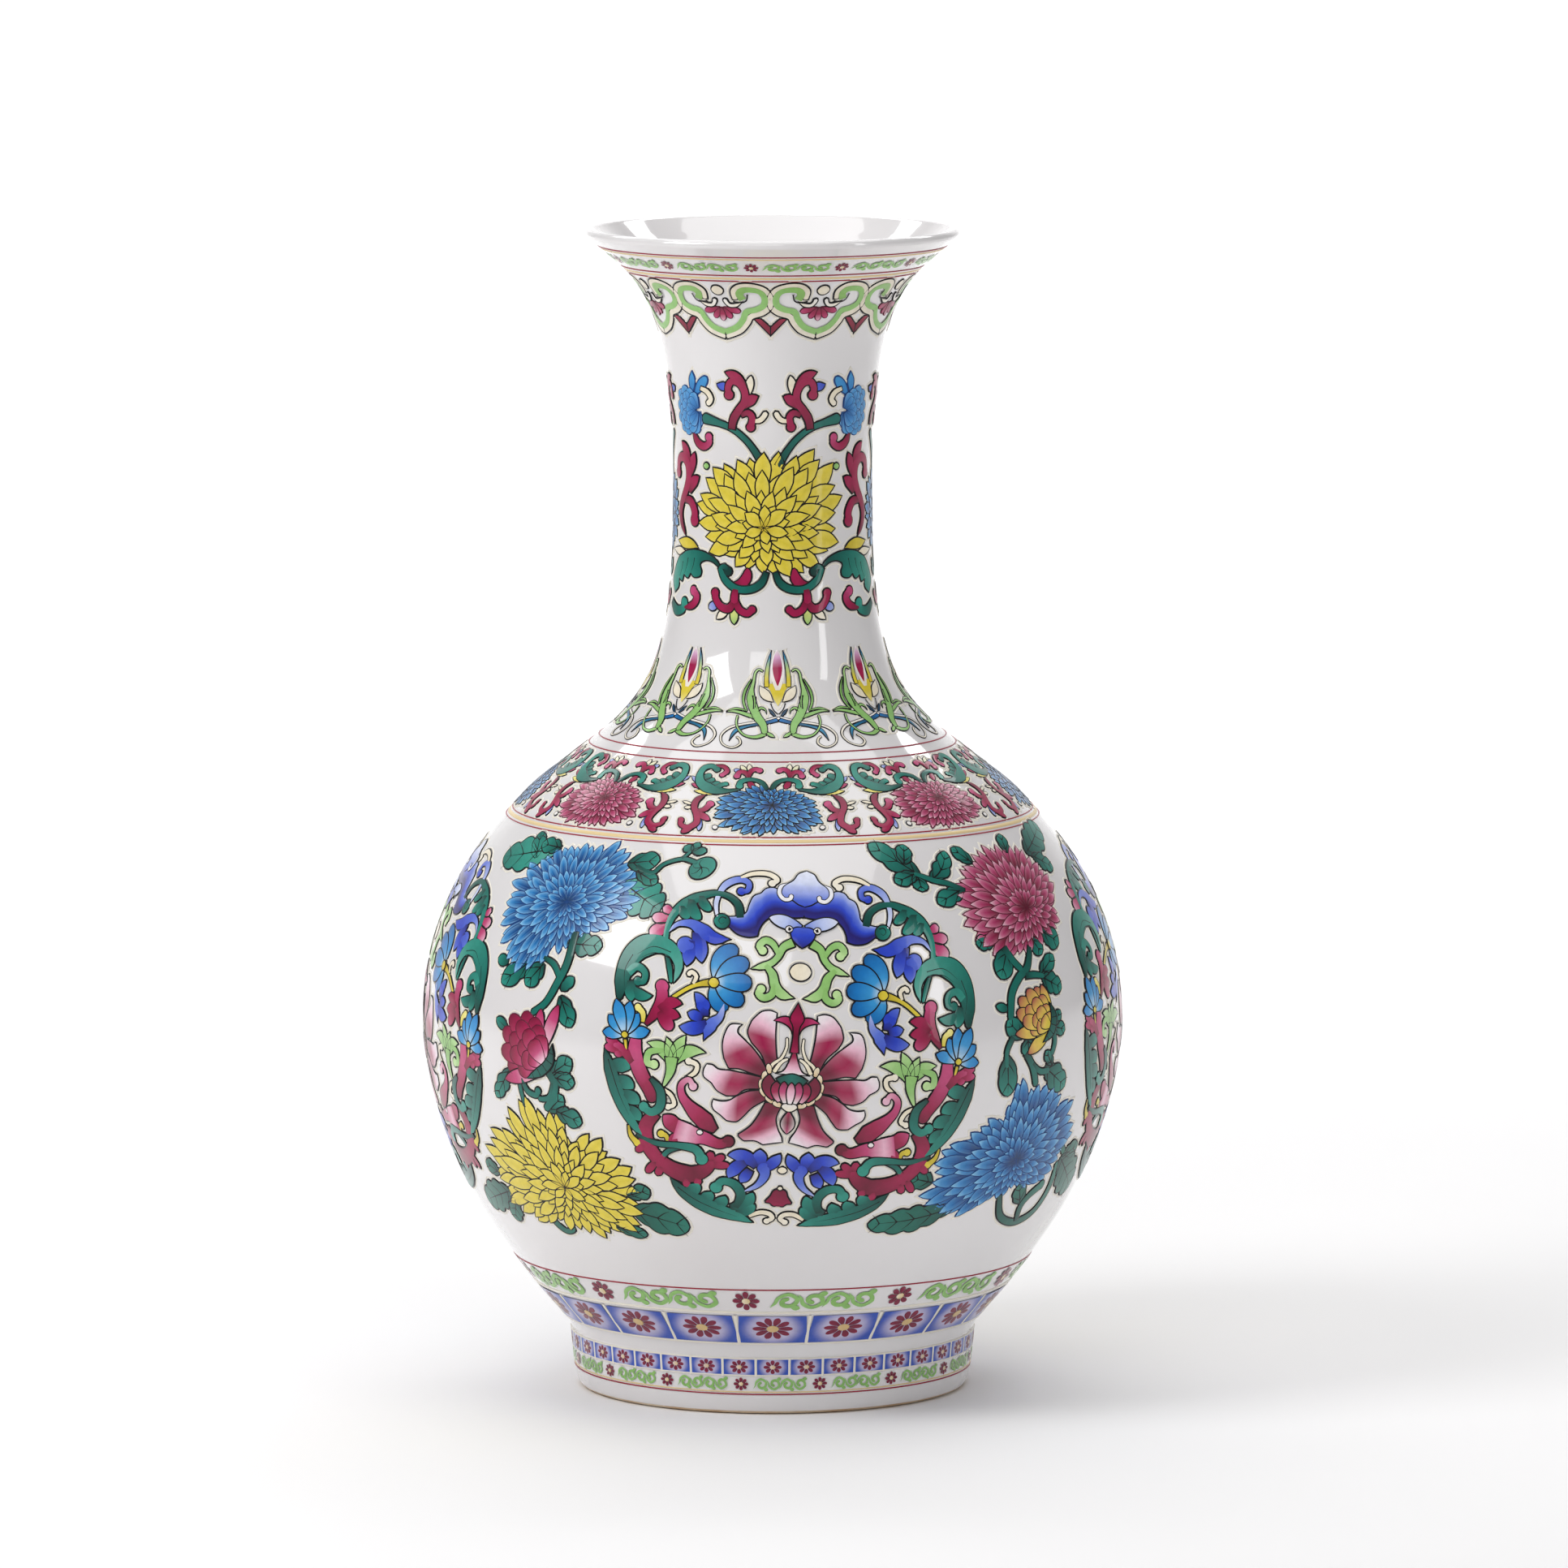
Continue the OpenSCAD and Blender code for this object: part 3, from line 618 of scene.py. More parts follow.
def signed_area(loop):
    """Area of a closed path, positive when it runs anticlockwise."""
    x, y = loop[:, 0], loop[:, 1]
    return float(np.dot(x, np.roll(y, -1)) - np.dot(y, np.roll(x, -1))) / 2


def lay_drawing(drawing, name, places, stands_for=None, together=False):
    """Lays a drawing at each (turn, height, lean), with a piece for each kind of enamel in it."""
    stands_for = stands_for or {}
    for kind, (vertices, quads, colours, _) in drawing.meshes.items():
        flat = np.vstack(vertices)
        faces = np.vstack(quads)
        colour = np.vstack(colours) if colours else None
        laid = [lay_on_vase(flat, *place) for place in places]
        if together:
            faces = np.vstack([faces + i * len(flat) for i in range(len(laid))])
            colour = None if colour is None else np.tile(colour, (len(laid), 1))
            laid = [np.vstack(laid)]
        for index, placed in enumerate(laid, 1):
            piece_name = f"{name}_{kind}" if together else f"{name}_{kind}_{index}"
            replaced = stands_for.get(kind, ()) if index == 1 else ()
            new_piece(piece_name, placed, faces, INKS.get(kind, PAINTED), colour, replaced)


# ---------------------------------------------------------------- the vase itself


def wall_at(u):
    """Thickness of the porcelain at a place on the outline, counted in knots."""
    last = len(OUTLINE_KNOTS) - 1
    share = np.clip((u - THINNING_FROM) / (last - THINNING_FROM), 0, 1)
    return BELLY_WALL + (LIP_WALL - BELLY_WALL) * share


def make_body():
    """Glaze outside and inside, rolled lip, glazed recess and bare foot edge."""
    knots = np.linspace(0, len(OUTLINE_KNOTS) - 1, len(body_outline))
    depth = 2 * GLAZE + wall_at(knots)
    lip_depth = depth[-1] / 2
    across = body_normals[-1]
    upwards = np.array([-across[1], across[0]])
    middle = body_outline[-1] - across * lip_depth
    turn = np.linspace(0, math.pi, 13)[1:-1, None]
    lip = middle + lip_depth * (np.cos(turn) * across + np.sin(turn) * upwards)
    crown = len(lip) // 2 + 1
    outside = np.vstack([FOOT_SIDE, body_outline, lip[:crown]])
    inner = body_outline - body_normals * depth[:, None]
    inner = inner[inner[:, 1] > FLOOR_HEIGHT + 6]
    floor = smooth_path([inner[0], (64, FLOOR_HEIGHT + 1.2), (58, FLOOR_HEIGHT)], 6)[1:]
    inside = np.vstack([lip[crown - 1:], inner[::-1], floor, [(0.01, FLOOR_HEIGHT)]])
    revolve("glazed_body", outside, GLAZED, ("outer_glaze",))
    revolve("glazed_inside", inside, GLAZED, ("inner_glaze",))
    revolve("glazed_recess", [(0.01, 11.7), (40, 11.7), (62.3, 11.7)], GLAZED,
            ("base_glaze",))
    foot = [(62.4, 12.0), (62.6, 6), (63.2, 1.2), (64.5, 0.0), (68.5, 0.0), (69.6, 0.4), (70.45, 1.15)]
    revolve("foot_biscuit", foot, BISCUIT, ("foot_ring",))


def ring_line(name, height, width, material, rise, stands_for=()):
    """A thin raised line right round the vase, narrower at its top."""
    start = np.interp(height, skin[:, 1], skin_lengths)
    section = [(-width / 2, 0.0), (-width * 0.35, rise), (width * 0.35, rise), (width / 2, 0.0)]
    profile = []
    for along_skin, up in section:
        s = start + along_skin
        r = np.interp(s, skin_lengths, skin[:, 0])
        z = np.interp(s, skin_lengths, skin[:, 1])
        out_r = np.interp(s, skin_lengths, skin_normals[:, 0])
        out_z = np.interp(s, skin_lengths, skin_normals[:, 1])
        profile.append((r + out_r * up, z + out_z * up))
    return revolve(name, profile, INKS[material], stands_for)


# Millimetres: heights of the lines over the glaze.
GOLD_RISE = 0.2
RED_RISE = 0.25
GRID_RISE = 0.42


def make_ring_lines():
    """Red and gold lines that part the borders."""
    ring_line("rim_gold_upper", 414.0, 0.7, "gold_line", GOLD_RISE, ("rim_gold_lines",))
    ring_line("rim_gold_lower", 406.6, 1.0, "gold_line", GOLD_RISE)
    for index, height in enumerate((414.9, 407.8, 405.6), 1):
        stands_for = ("rim_red_lines",) if index == 1 else ()
        ring_line(f"rim_red_{index}", height, 0.45, "red_line", RED_RISE, stands_for)
    for index, height in enumerate((237.8, 235.0, 211.4, 208.9), 1):
        stands_for = ("shoulder_red_lines",) if index == 1 else ()
        ring_line(f"shoulder_red_{index}", height, 0.5, "red_line", RED_RISE, stands_for)
    ring_line("shoulder_gold", 210.15, 1.5, "gold_line", GOLD_RISE,
        ("shoulder_gold_band",))
    ring_line("body_red", 49.0, 0.55, "red_line", RED_RISE, ("body_red_line",))
    ring_line("foot_red", 7.45, 0.5, "red_line", RED_RISE, ("foot_red_line",))


# ---------------------------------------------------------------- borders


def rosette(d, wide, tall, petals=8, centre=CREAM):
    """A flat maroon rosette with a pale centre."""
    for k in range(petals):
        angle = 2 * math.pi * k / petals
        way = np.array([math.cos(angle) * wide, math.sin(angle) * tall])
        broad = 3.6 / petals * math.hypot(math.sin(angle) * wide, math.cos(angle) * tall)
        d.petal("maroon", way * 0.3, way, broad, MAROONS, waist=0.35, widest=0.6, point=0.5, ink=None,
            count=9, across=4)
    d.disc("cream", 0, 0, wide * 0.3, [centre, rgb("#d8b878")], tall=tall / wide, ink=None, layer=1,
        count=9)


def spiral(x, y, big, small, start, sweep, tall=1.0):
    """Points of a spiral round a centre, angles in degrees."""
    share = np.linspace(0, 1, 14)
    angle = np.radians(start + sweep * share)
    radius = big + (small - big) * share ** 0.8
    return [(x + r * math.cos(a), y + r * math.sin(a) * tall) for r, a in zip(radius, angle)]


def running_scroll(d, length, height, curls, width, tones):
    """A wavy green scroll whose half waves each hold a curl, centred on the origin."""
    pitch = length / curls
    swing = height / 2 - width / 2
    for k in range(curls):
        x = -length / 2 + pitch * (k + 0.5)
        up = 1 if k % 2 == 0 else -1
        stem = [(x - pitch * 0.62, -up * swing), (x - pitch * 0.45, -up * swing * 0.3),
                (x - pitch * 0.36, up * swing * 0.45), (x, up * swing),
                (x + pitch * 0.36, up * swing * 0.45)]
        curl = spiral(x + pitch * 0.02, -up * swing * 0.12, pitch * 0.37, pitch * 0.12, 12 * up, -330 * up,
                      swing * 0.88 / (pitch * 0.37))
        d.stroke("light_green", stem + curl[:-1], [width * 0.5, width, width, width * 1.1, width * 1.15],
            tones, start="point", ink=None, layer=0.1 * k)
        d.petal("light_green", (x + pitch * 0.2, -up * swing * 0.9), (x + pitch * 0.55, -up * swing * 1.15),
            width * 1.5, tones, ink=None, layer=0.3)
    return d


def border_scrolls(name, count, height, first_turn, wide, tall, width, rosette_size):
    """Green scrolls between maroon rosettes, right round the vase."""
    step = 360 / count
    scrolls = Drawing()
    scrolls.beads = False
    running_scroll(scrolls, wide, tall, 4, width, [GREEN, rgb("#86b85f")])
    lay_drawing(scrolls, f"{name}_scrolls", [(first_turn + step * (k + 0.5), height,
        0) for k in range(count)], {"light_green": (f"{name}_scrolls",)}, together=True)
    stars = Drawing()
    stars.beads = False
    stars.unit = 0.5
    rosette(stars, *rosette_size)
    lay_drawing(stars, f"{name}_rosettes", [(first_turn + step * k, height, 0) for k in range(count)],
                {"maroon": (f"{name}_rosettes",)}, together=True)


def glow_paint(wide, tall, inner, outer):
    """Colour by elliptical distance from a tile's middle: pale near the rosette, cobalt outside."""
    def paint(points):
        reach = np.hypot(points[:, 0] / wide, points[:, 1] / tall)
        share = np.clip((reach - 0.55) / 0.6, 0, 1)
        share = share * share * (3 - 2 * share)
        return inner * (1 - share)[:, None] + outer * share[:, None]
    return paint


def tile_border(name, count, height, half_turn_mm, low, high, post, rosette_size, petals, centre):
    """Cobalt tiles with a pale glow round a maroon rosette, parted by cream lines."""
    tiles = Drawing()
    tiles.beads = False
    x = half_turn_mm - post / 2
    rows = np.linspace(low, high, 9)
    a = np.stack([np.full(9, -x), rows], axis=1)
    b = np.stack([np.full(9, x), rows], axis=1)
    tiles.fill("cobalt", a, b, COBALT, ink=None, across=25, dome=0.0,
        paint=glow_paint(rosette_size[0] * 1.45, rosette_size[1] * 1.5, rgb("#c9c2dc"), rgb("#2c50b4")))
    with tiles.at(level=0.08):
        rosette(tiles, *rosette_size, petals=petals, centre=centre)
    lay_drawing(tiles, f"{name}_tiles", [(360 / count * k, height, 0) for k in range(count)],
                {"cobalt": (f"{name}_tiles",), "maroon": (f"{name}_tile_rosettes",)}, together=True)
    posts = Drawing()
    posts.ribbon("bead", np.array([(0, low - 0.5), (0, high + 0.5)], float), [-post / 2, -post / 4,
        post / 4, post / 2], [0.2, 0.45, 0.45, 0.2], closed=False)
    lay_drawing(posts, f"{name}_posts", [(360 / count * (k + 0.5), height, 0) for k in range(count)],
                {"bead": (f"{name}_grid_lines",)}, together=True)


def make_borders():
    """The scroll and tile borders of the rim, the bottom of the body and the foot ring."""
    border_scrolls("rim", count=11, height=411.0, first_turn=-7.6, wide=24.0, tall=4.6, width=1.0,
                   rosette_size=(2.7, 2.5))
    border_scrolls("body", count=10, height=44.6, first_turn=-6.0, wide=37.0, tall=8.6, width=1.7,
                   rosette_size=(4.9, 4.8))
    border_scrolls("foot", count=16, height=11.3, first_turn=-9.0, wide=18.6, tall=4.6, width=0.85,
                   rosette_size=(2.7, 2.4))
    tile_border("body", count=20, height=33.2, half_turn_mm=12.6, low=-8.0, high=6.6, post=0.8,
                rosette_size=(7.3, 6.0), petals=10, centre=rgb("#d9b988"))
    tile_border("foot", count=38, height=17.6, half_turn_mm=5.98, low=-3.0, high=2.9, post=0.7,
                rosette_size=(3.3, 2.55), petals=8, centre=rgb("#ead9d4"))
    for name, height, width in (("body_grid_top", 39.7, 1.0), ("body_grid_bottom", 26.7, 1.0),
            ("foot_grid_top", 20.6, 0.6), ("foot_grid_bottom", 14.5, 0.6)):
        ring_line(name, height, width, "bead", GRID_RISE)
    ring_line("foot_gold", 8.3, 0.5, "gold_line", GOLD_RISE)


# ---------------------------------------------------------------- collar of ruyi heads


def ruyi_head(d):
    """A ruyi head: cream border and green band, curled in at the top, over a hanging rose lotus."""
    for d in d.both():
        d.stroke("cream", [(5.9, 5.0), (5.9, 8.6), (8.8, 11.2), (13, 11.6), (17.2, 9.9), (18.7, 6),
            (17.6, 2), (14.5, -0.6), (10.4, -2.0), (8.6, -4.6), (5.4, -7.8), (0, -9.9)], [2.2, 2.4, 2.4,
            2.4, 2.4], [rgb("#e6dcc6"), rgb("#f0e8d6")], end="flat", count=60)
        d.stroke("light_green", [(8.6, 4.9), (7.9, 7.2), (9.3, 9.2), (12.5, 9.6), (15.5, 8.6), (16.6, 5.8),
            (15.6, 2.6), (12.6, 0.8), (9.0, -0.2), (7.2, -3.4), (4.4, -6.4), (0, -8.2)], [2.9, 2.5, 2.2,
            2.2, 2.2], [rgb("#86b35c"), GREEN, GREEN], end="flat", ink=None, layer=1, beads=False, count=60)
        d.line([(5.0, 4.3), (7.6, 3.6), (9.8, 4.6), (10.8, 7.3)], 0.5, taper=False, layer=1)
        d.stroke("cream", [(8.2, 3.9), (5.6, 2.6), (3.4, 2.5), (2.2, 3.9), (2.0, 5.4)], [0.6, 1.5, 1.6, 1.6,
            2.0], [CREAM, WHITE], start="point", layer=1.2, beads=False)
        for x, y, w in ((6.9, -0.1, 2.4), (3.2, -2.8, 2.2)):
            d.petal("rose", (0.8, 1.2), (x, y), w, [ROSE_DEEP, ROSE, ROSE_MID], widest=0.7, point=0.45,
                ink="rose_ink", layer=0.5 if y > -1 else 1.0, ink_width=0.3, beads=False)
    d.petal("rose", (0, 1.4), (0, -3.8), 2.3, [ROSE_DEEP, ROSE, ROSE_PALE], widest=0.7, point=0.5,
        ink="rose_ink", layer=1.6, ink_width=0.3, beads=False)
    d.disc("cream", 0, 9.2, 2.3, [CREAM, rgb("#e4dac8")], layer=0.2, beads=False)


def chevron(d):
    """A rose V that hangs between two ruyi heads."""
    for d in d.both():
        d.band("maroon", [(0, -9.6), (5.9, -3.1)], [(0, -6.1), (3.2, -3.0)], [rgb("#7c1431"),
            rgb("#99203f")], layer=-0.5)


def make_collar():
    """Eight ruyi heads with chevrons between them."""
    heads = Drawing()
    heads.unit = 0.5
    ruyi_head(heads)
    lay_drawing(heads, "collar", [(45 * k + 21.5, COLLAR_Z, 0) for k in range(8)],
                {"light_green": ("ruyi_collar",), "rose": ("ruyi_lotuses",)})
    vees = Drawing()
    chevron(vees)
    lay_drawing(vees, "chevrons", [(45 * k - 1, COLLAR_Z, 0) for k in range(8)],
                {"maroon": ("collar_chevrons",)}, together=True)


# ---------------------------------------------------------------- flowers, leaves and scrolls


def chrysanthemum(d, enamel, focal, reach, rings, petal_width, tones, ink="ink", seed=1, point=0.7,
                  stretch=2.2, edge=None, edge_share=0.0, ink_width=0.32, jitter=0.08, grooves=0):
    """A many-petalled flower seen from the front; reach gives its outline round the focal point."""
    chance = random.Random(seed)
    angles = np.radians(np.arange(0, 360, 2.0))
    knots = np.radians([a for a, _ in reach])
    radii = np.array([r for _, r in reach], float)
    around = np.concatenate([knots - 2 * math.pi, knots, knots + 2 * math.pi])
    radius = np.interp(angles, around, np.tile(radii, 3))
    radius = (np.roll(radius, 1) + 2 * radius + np.roll(radius, -1)) / 4
    way = np.stack([np.cos(angles), np.sin(angles)], axis=1)
    mean = radius.mean()
    for ring in range(rings):
        share = 1 - 0.7 * ring / (rings - 1)
        heart = ring == rings - 1
        rim = way * (radius * share)[:, None]
        closed = np.vstack([rim, rim[:1]])
        girth = arc_lengths(closed)
        size = petal_width * (0.62 + 0.38 * share)
        count = max(7, round(girth[-1] / size))
        for k in range(count):
            at = ((k + 0.5 * (ring % 2)) / count % 1.0) * girth[-1]
            angle = float(np.interp(at, girth, np.append(angles, 2 * math.pi)))
            full = float(np.interp(angle, np.append(angles, 2 * math.pi), np.append(radius, radius[0])))
            tip_at = full * share * (1 + jitter * chance.uniform(-1, 0.6))
            local = (full / mean) ** 0.4
            long = tip_at * 0.98 if heart else max(stretch * full / rings, size * 2.1 * local)
            base_at = max(0.0, tip_at - long)
            turn = angle + chance.uniform(-0.04, 0.04)
            out = np.array([math.cos(turn), math.sin(turn)])
            start = np.array([math.cos(angle), math.sin(angle)]) * base_at
            wide = size * local * chance.uniform(0.95, 1.12)
            bend = 0.05 * chance.uniform(-1, 1)
            layer = ring + 0.5 * (k % 2)
            d.petal(enamel, focal + start, focal + out * tip_at, wide, tones, waist=0.3, point=point,
                bend=bend, widest=0.6, layer=layer, ink=ink, ink_width=ink_width, edge=edge,
                edge_share=edge_share, across=5, beads=ring == 0, count=10)
            aside = np.array([-out[1], out[0]]) * wide
            for groove in range(grooves):
                off = aside * 0.22 * (groove - (grooves - 1) / 2)
                d.line([tuple(focal + out * (base_at + long * 0.35) + off),
                    tuple(focal + out * (tip_at - long * 0.3) + off)], 0.3, kind=ink, layer=layer, count=3)


def bulb_stroke(d, enamel, points, widths, tones=None, bulb=0.0, **how):
    """A scroll stroke that ends in a round bulb."""
    tones = USUAL_TONES[enamel] if tones is None else tones
    with d.merged():
        d.stroke(enamel, points, widths, tones, **how)
        if bulb:
            x, y = points[-1][:2]
            kept = ("layer", "ink", "beads", "ink_width")
            d.disc(enamel, x, y, bulb, [tones[-1]], **{k: v for k, v in how.items() if k in kept})


def lobed_leaf(d, base, tip, width, lobes=3, bend=0.0, tones=TEALS, veins=True, depth=0.3, layer=0.0,
        **how):
    """A chrysanthemum leaf: rounded lobes, a midrib and side veins."""
    d.petal("teal", base, tip, width, tones, bend=bend, lobes=lobes, lobe_depth=depth, waist=0.25,
        widest=0.5, point=0.45, layer=layer, across=6, **how)
    if not veins:
        return
    base, tip = np.asarray(base, float), np.asarray(tip, float)
    run = tip - base
    aside = np.array([-run[1], run[0]])

    def on_rib(t):
        return base + run * t + aside * (bend * 4 * t * (1 - t))

    d.line([tuple(on_rib(t)) for t in (0.03, 0.3, 0.6, 0.92)], 0.6, layer=layer)
    length = float(np.hypot(*run))
    unit = aside / length
    for k in range(lobes):
        t = (k + 0.35) / lobes
        for side in (-1, 1):
            start = on_rib(t)
            end = on_rib(min(t + 0.62 / lobes, 0.97)) + unit * side * width * 0.33
            d.line([tuple(start), tuple((start + end) / 2 + unit * side * width * 0.03), tuple(end)], 0.45,
                layer=layer)


def side_view_head(d, tones):
    """A blue chrysanthemum head seen from the side, with petals closing over one another."""
    for level, ring in enumerate((((-6.6, 6.2), (-7.4, 1.5), (-7.0, -3.6), (-4.4, -7.6), (5.2, -6.0)),
            ((-3.6, 8.2), (-5.4, 4.4), (-5.8, -0.4), (-5.0, -5.2), (-1.4, -9.0), (3.8, -8.6)), ((-0.4, 7.6),
            (-2.6, 6.0), (-3.8, 2.2), (-3.8, -2.8), (-2.2, -6.6), (1.6, -8.2)), ((2.2, 6.4), (0.2, 4.0),
            (-1.2, 0.2), (-0.8, -4.2), (2.0, -5.6)), )):
        for x, y in ring:
            d.petal("blue", (4.4 + 0.2 * x, 0.1 * y), (x, y), 4.6, tones, point=0.42, waist=0.5, widest=0.7,
                ink="blue_ink", ink_width=0.26, layer=level, across=4, beads=level == 0, edge=BLUE_PALE,
                edge_share=0.25)


# ---------------------------------------------------------------- neck


def s_finial(d):
    """A rose scroll that rises, throws out a leaf and closes in a curl."""
    d.petal("cream", (8.6, 44.8), (7.0, 53.0), 3.3, point=0.6, layer=0.2)
    d.petal("cobalt", (14.6, 49.2), (20.2, 49.6), 3.4, [COBALT_MID, COBALT], layer=0.3, bend=-0.12)
    with d.merged():
        d.petal("rose", (9.6, 48.6), (16.6, 54.0), 3.4, layer=0.5, bend=0.12, waist=0.6)
        d.petal("rose", (9.6, 41.2), (4.6, 45.4), 3.6, layer=0.5, bend=-0.1)
        bulb_stroke(d, "rose", [(10.6, 38.4), (8.2, 39.4), (6.6, 37.6), (7.2, 34.2)], [1.4, 2.2, 2.2, 2.4],
            bulb=1.5, layer=0.7)
        bulb_stroke(d, "rose", [(14.2, 33.4), (13.6, 36.8), (11.6, 40.2), (9.4, 43.4), (9.4, 47.2),
            (11.4, 50.2), (14.2, 50.8), (15.6, 48.6), (15.3, 45.8)], [2.4, 2.8, 2.6, 2.4, 2.6, 2.4, 2.2],
            bulb=1.7, layer=1.0, start="flat")
    bulb_stroke(d, "cream", [(6.0, 36.4), (3.9, 36.7), (2.4, 38.2), (1.7, 39.8)], [1.2, 1.7, 1.7, 1.7],
        layer=0.3)


def neck_group():
    """The neck's yellow chrysanthemum with its stems, blue heads and rose scrolls."""
    d = Drawing()
    d.unit = 0.62
    for d in d.both():
        d.stroke("teal", [(2.6, 20.0), (5.6, 25.2), (9.8, 30.2), (16.0, 34.2), (27.0, 37.0)], [3.0, 2.4,
            2.3, 2.6, 4.4], [TEAL_DEEP, TEAL, TEAL], start="flat")
        s_finial(d)
        d.petal("blue", (30.2, 45.6), (24.6, 51.9), 4.0, [BLUE, BLUE_MID], ink="blue_ink", point=0.4)
        d.petal("blue", (32.0, 46.0), (31.8, 53.6), 3.3, [BLUE, BLUE_MID], ink="blue_ink", point=1.0)
        with d.at(34.2, 39.4, flip=True):
            side_view_head(d, [BLUE_DEEP, BLUE, BLUE_MID])
        bulb_stroke(d, "cream", [(27.4, 47.6), (24.4, 46.4), (22.8, 43.8), (24.6, 41.8)], [1.3, 1.8, 1.9,
            2.0], layer=0.2)
        bulb_stroke(d, "rose", [(31.6, 31.6), (29.6, 28.0), (26.4, 26.4), (23.8, 27.8), (23.9, 29.9)], [0.8,
            2.4, 2.8, 2.4, 2.4], ROSES_LIGHT, 1.5)
        d.disc("light_green", 25.2, 19.4, 1.3)
        # Upright rose scrolls at the sides.
        with d.merged():
            d.petal("rose", (34.6, 19.6), (39.4, 27.2), 3.9, layer=0.4, waist=0.6, bend=0.1)
            d.petal("rose", (34.4, 15.0), (31.0, 23.8), 3.9, layer=0.3, waist=0.6)
            d.petal("rose", (34.4, 9.6), (28.8, 15.2), 3.9, layer=0.3, waist=0.6, bend=-0.08)
            bulb_stroke(d, "rose", [(37.6, 6.4), (33.6, 6.2), (31.2, 2.8), (31.2, -0.6)], [1.8, 3.0, 3.2,
                3.2], bulb=2.1, layer=0.7)
            bulb_stroke(d, "rose", [(36.8, -6.4), (39.8, -2.0), (40.6, 2.2), (38.8, 6.4), (36.2, 10.4),
                (34.6, 15.0), (35.4, 19.6), (38.6, 21.8), (42.0, 20.2), (42.6, 16.0)], [1.2, 2.4, 3.0, 3.0,
                3.2, 3.4, 3.4, 3.0, 3.0], bulb=2.0, layer=1.0, start="point")
        # Leaves and scrolls under the flower.
        d.band("yellow", [(29.2, -10.4), (32, -8.0), (36.6, -7.0), (43.0, -8.6)], [(29.2, -10.4),
            (34, -11.2), (39, -11.0), (43.0, -8.6)])
        d.band("cream", [(37, -12.2), (41, -10.8), (48.0, -12.0)], [(37, -12.2), (42, -14.0),
            (48.0, -12.0)])
        d.band("teal", [(18.4, -16.6), (21.8, -13.2), (28.0, -11.2), (35.0, -11.6), (41.4, -14.2),
            (45.6, -18.8), (47.6, -23.4), (45.0, -27.6)], [(19.2, -17.4), (22.2, -15.2), (25.6, -14.8),
            (28.2, -16.2), (27.4, -18.6), (28.2, -20.6), (31.4, -21.2), (33.4, -19.8, 0), (35.2, -21.8),
            (37.8, -20.6, 0), (39.0, -23.2), (41.4, -22.2, 0), (41.6, -25.4), (45.0, -27.6)], [TEAL_DEEP,
            TEAL, TEAL_MID, TEAL_MID], across=7)
        for x, y, far_x, far_y in ((31.2, -14.2, 33.2, -19.4), (35.0, -14.4, 37.4, -20.2), (38.6, -16.0,
                41.0, -21.6)):
            d.line([(x, y), ((x + far_x) / 2 - 0.4, (y + far_y) / 2), (far_x, far_y)], 0.34)
        d.petal("rose", (14.6, -22.6), (8.4, -16.6), 4.0, bend=0.3, point=0.4, waist=0.3, layer=0.4)
        bulb_stroke(d, "teal", [(1.6, -18.2), (3.4, -22.0), (7.2, -24.2), (12.4, -24.2), (16.8, -21.2),
            (19.0, -17.0)], [1.6, 2.4, 2.4, 2.4, 2.4, 1.6], [TEAL_DEEP, TEAL, TEAL], layer=0.8,
            start="flat", end="flat")
        bulb_stroke(d, "teal", [(19.2, -17.2), (17.2, -16.4), (15.9, -18.0)], [1.2, 1.8, 2.0], [TEAL,
            TEAL_DEEP], 1.6, layer=1.0)
        bulb_stroke(d, "teal", [(47.0, -31.0), (42.6, -33.8), (37.8, -33.0), (36.8, -30.8)], [2.2, 3.6, 3.0,
            2.8], [TEAL_DEEP, TEAL, TEAL_MID], 2.0)
        bulb_stroke(d, "rose", [(36.6, -32.4), (31.6, -31.0), (29.6, -28.0), (31.4, -26.0)], [0.8, 2.4, 2.8,
            2.8], ROSES_LIGHT, 1.7, layer=0.3)
        # The small hanging lotus scroll.
        d.petal("light_green", (13.4, -30.0), (13.4, -37.0), 3.3, [YELLOW_PALE, GREEN], point=0.6)
        d.petal("cream", (15.2, -31.2), (20.4, -35.4), 3.0, layer=0.2)
        d.petal("cobalt", (19.6, -29.6), (23.8, -31.8), 3.4, [COBALT, COBALT_PALE], point=0.45, layer=0.3)
        with d.merged():
            bulb_stroke(d, "rose", [(12.8, -28.6), (11.4, -31.6), (8.6, -32.9), (6.7, -31.6)], [2.0, 2.4,
                2.4, 2.4], bulb=1.3, layer=0.5)
            bulb_stroke(d, "rose", [(13.4, -28.8), (15.4, -31.4), (18.6, -30.8), (20.6, -28.2),
                (21.0, -26.0)], [2.0, 2.8, 2.6, 2.4, 2.6], bulb=1.5, layer=0.6)
            d.stroke("rose", [(12.8, -24.4), (13.2, -27.2), (13.4, -29.6)], [2.0, 2.6, 2.8], layer=0.9)
    reach = [(0, 29), (20, 31.5), (36, 34), (57, 33), (72, 27), (90, 26), (105, 26), (118, 30), (136, 29.5),
        (153, 29.5), (172, 26), (191, 25), (210, 20), (232, 18), (262, 16.4), (292, 19.5), (325, 25),
        (347, 28.5)]
    chrysanthemum(d, "yellow", np.array([-2.6, -2.2]), reach, 4, 5.6, YELLOWS, seed=4, ink_width=0.5,
        jitter=0.1, stretch=2.2, edge=YELLOW_PALE, edge_share=0.3, point=0.95)
    return d


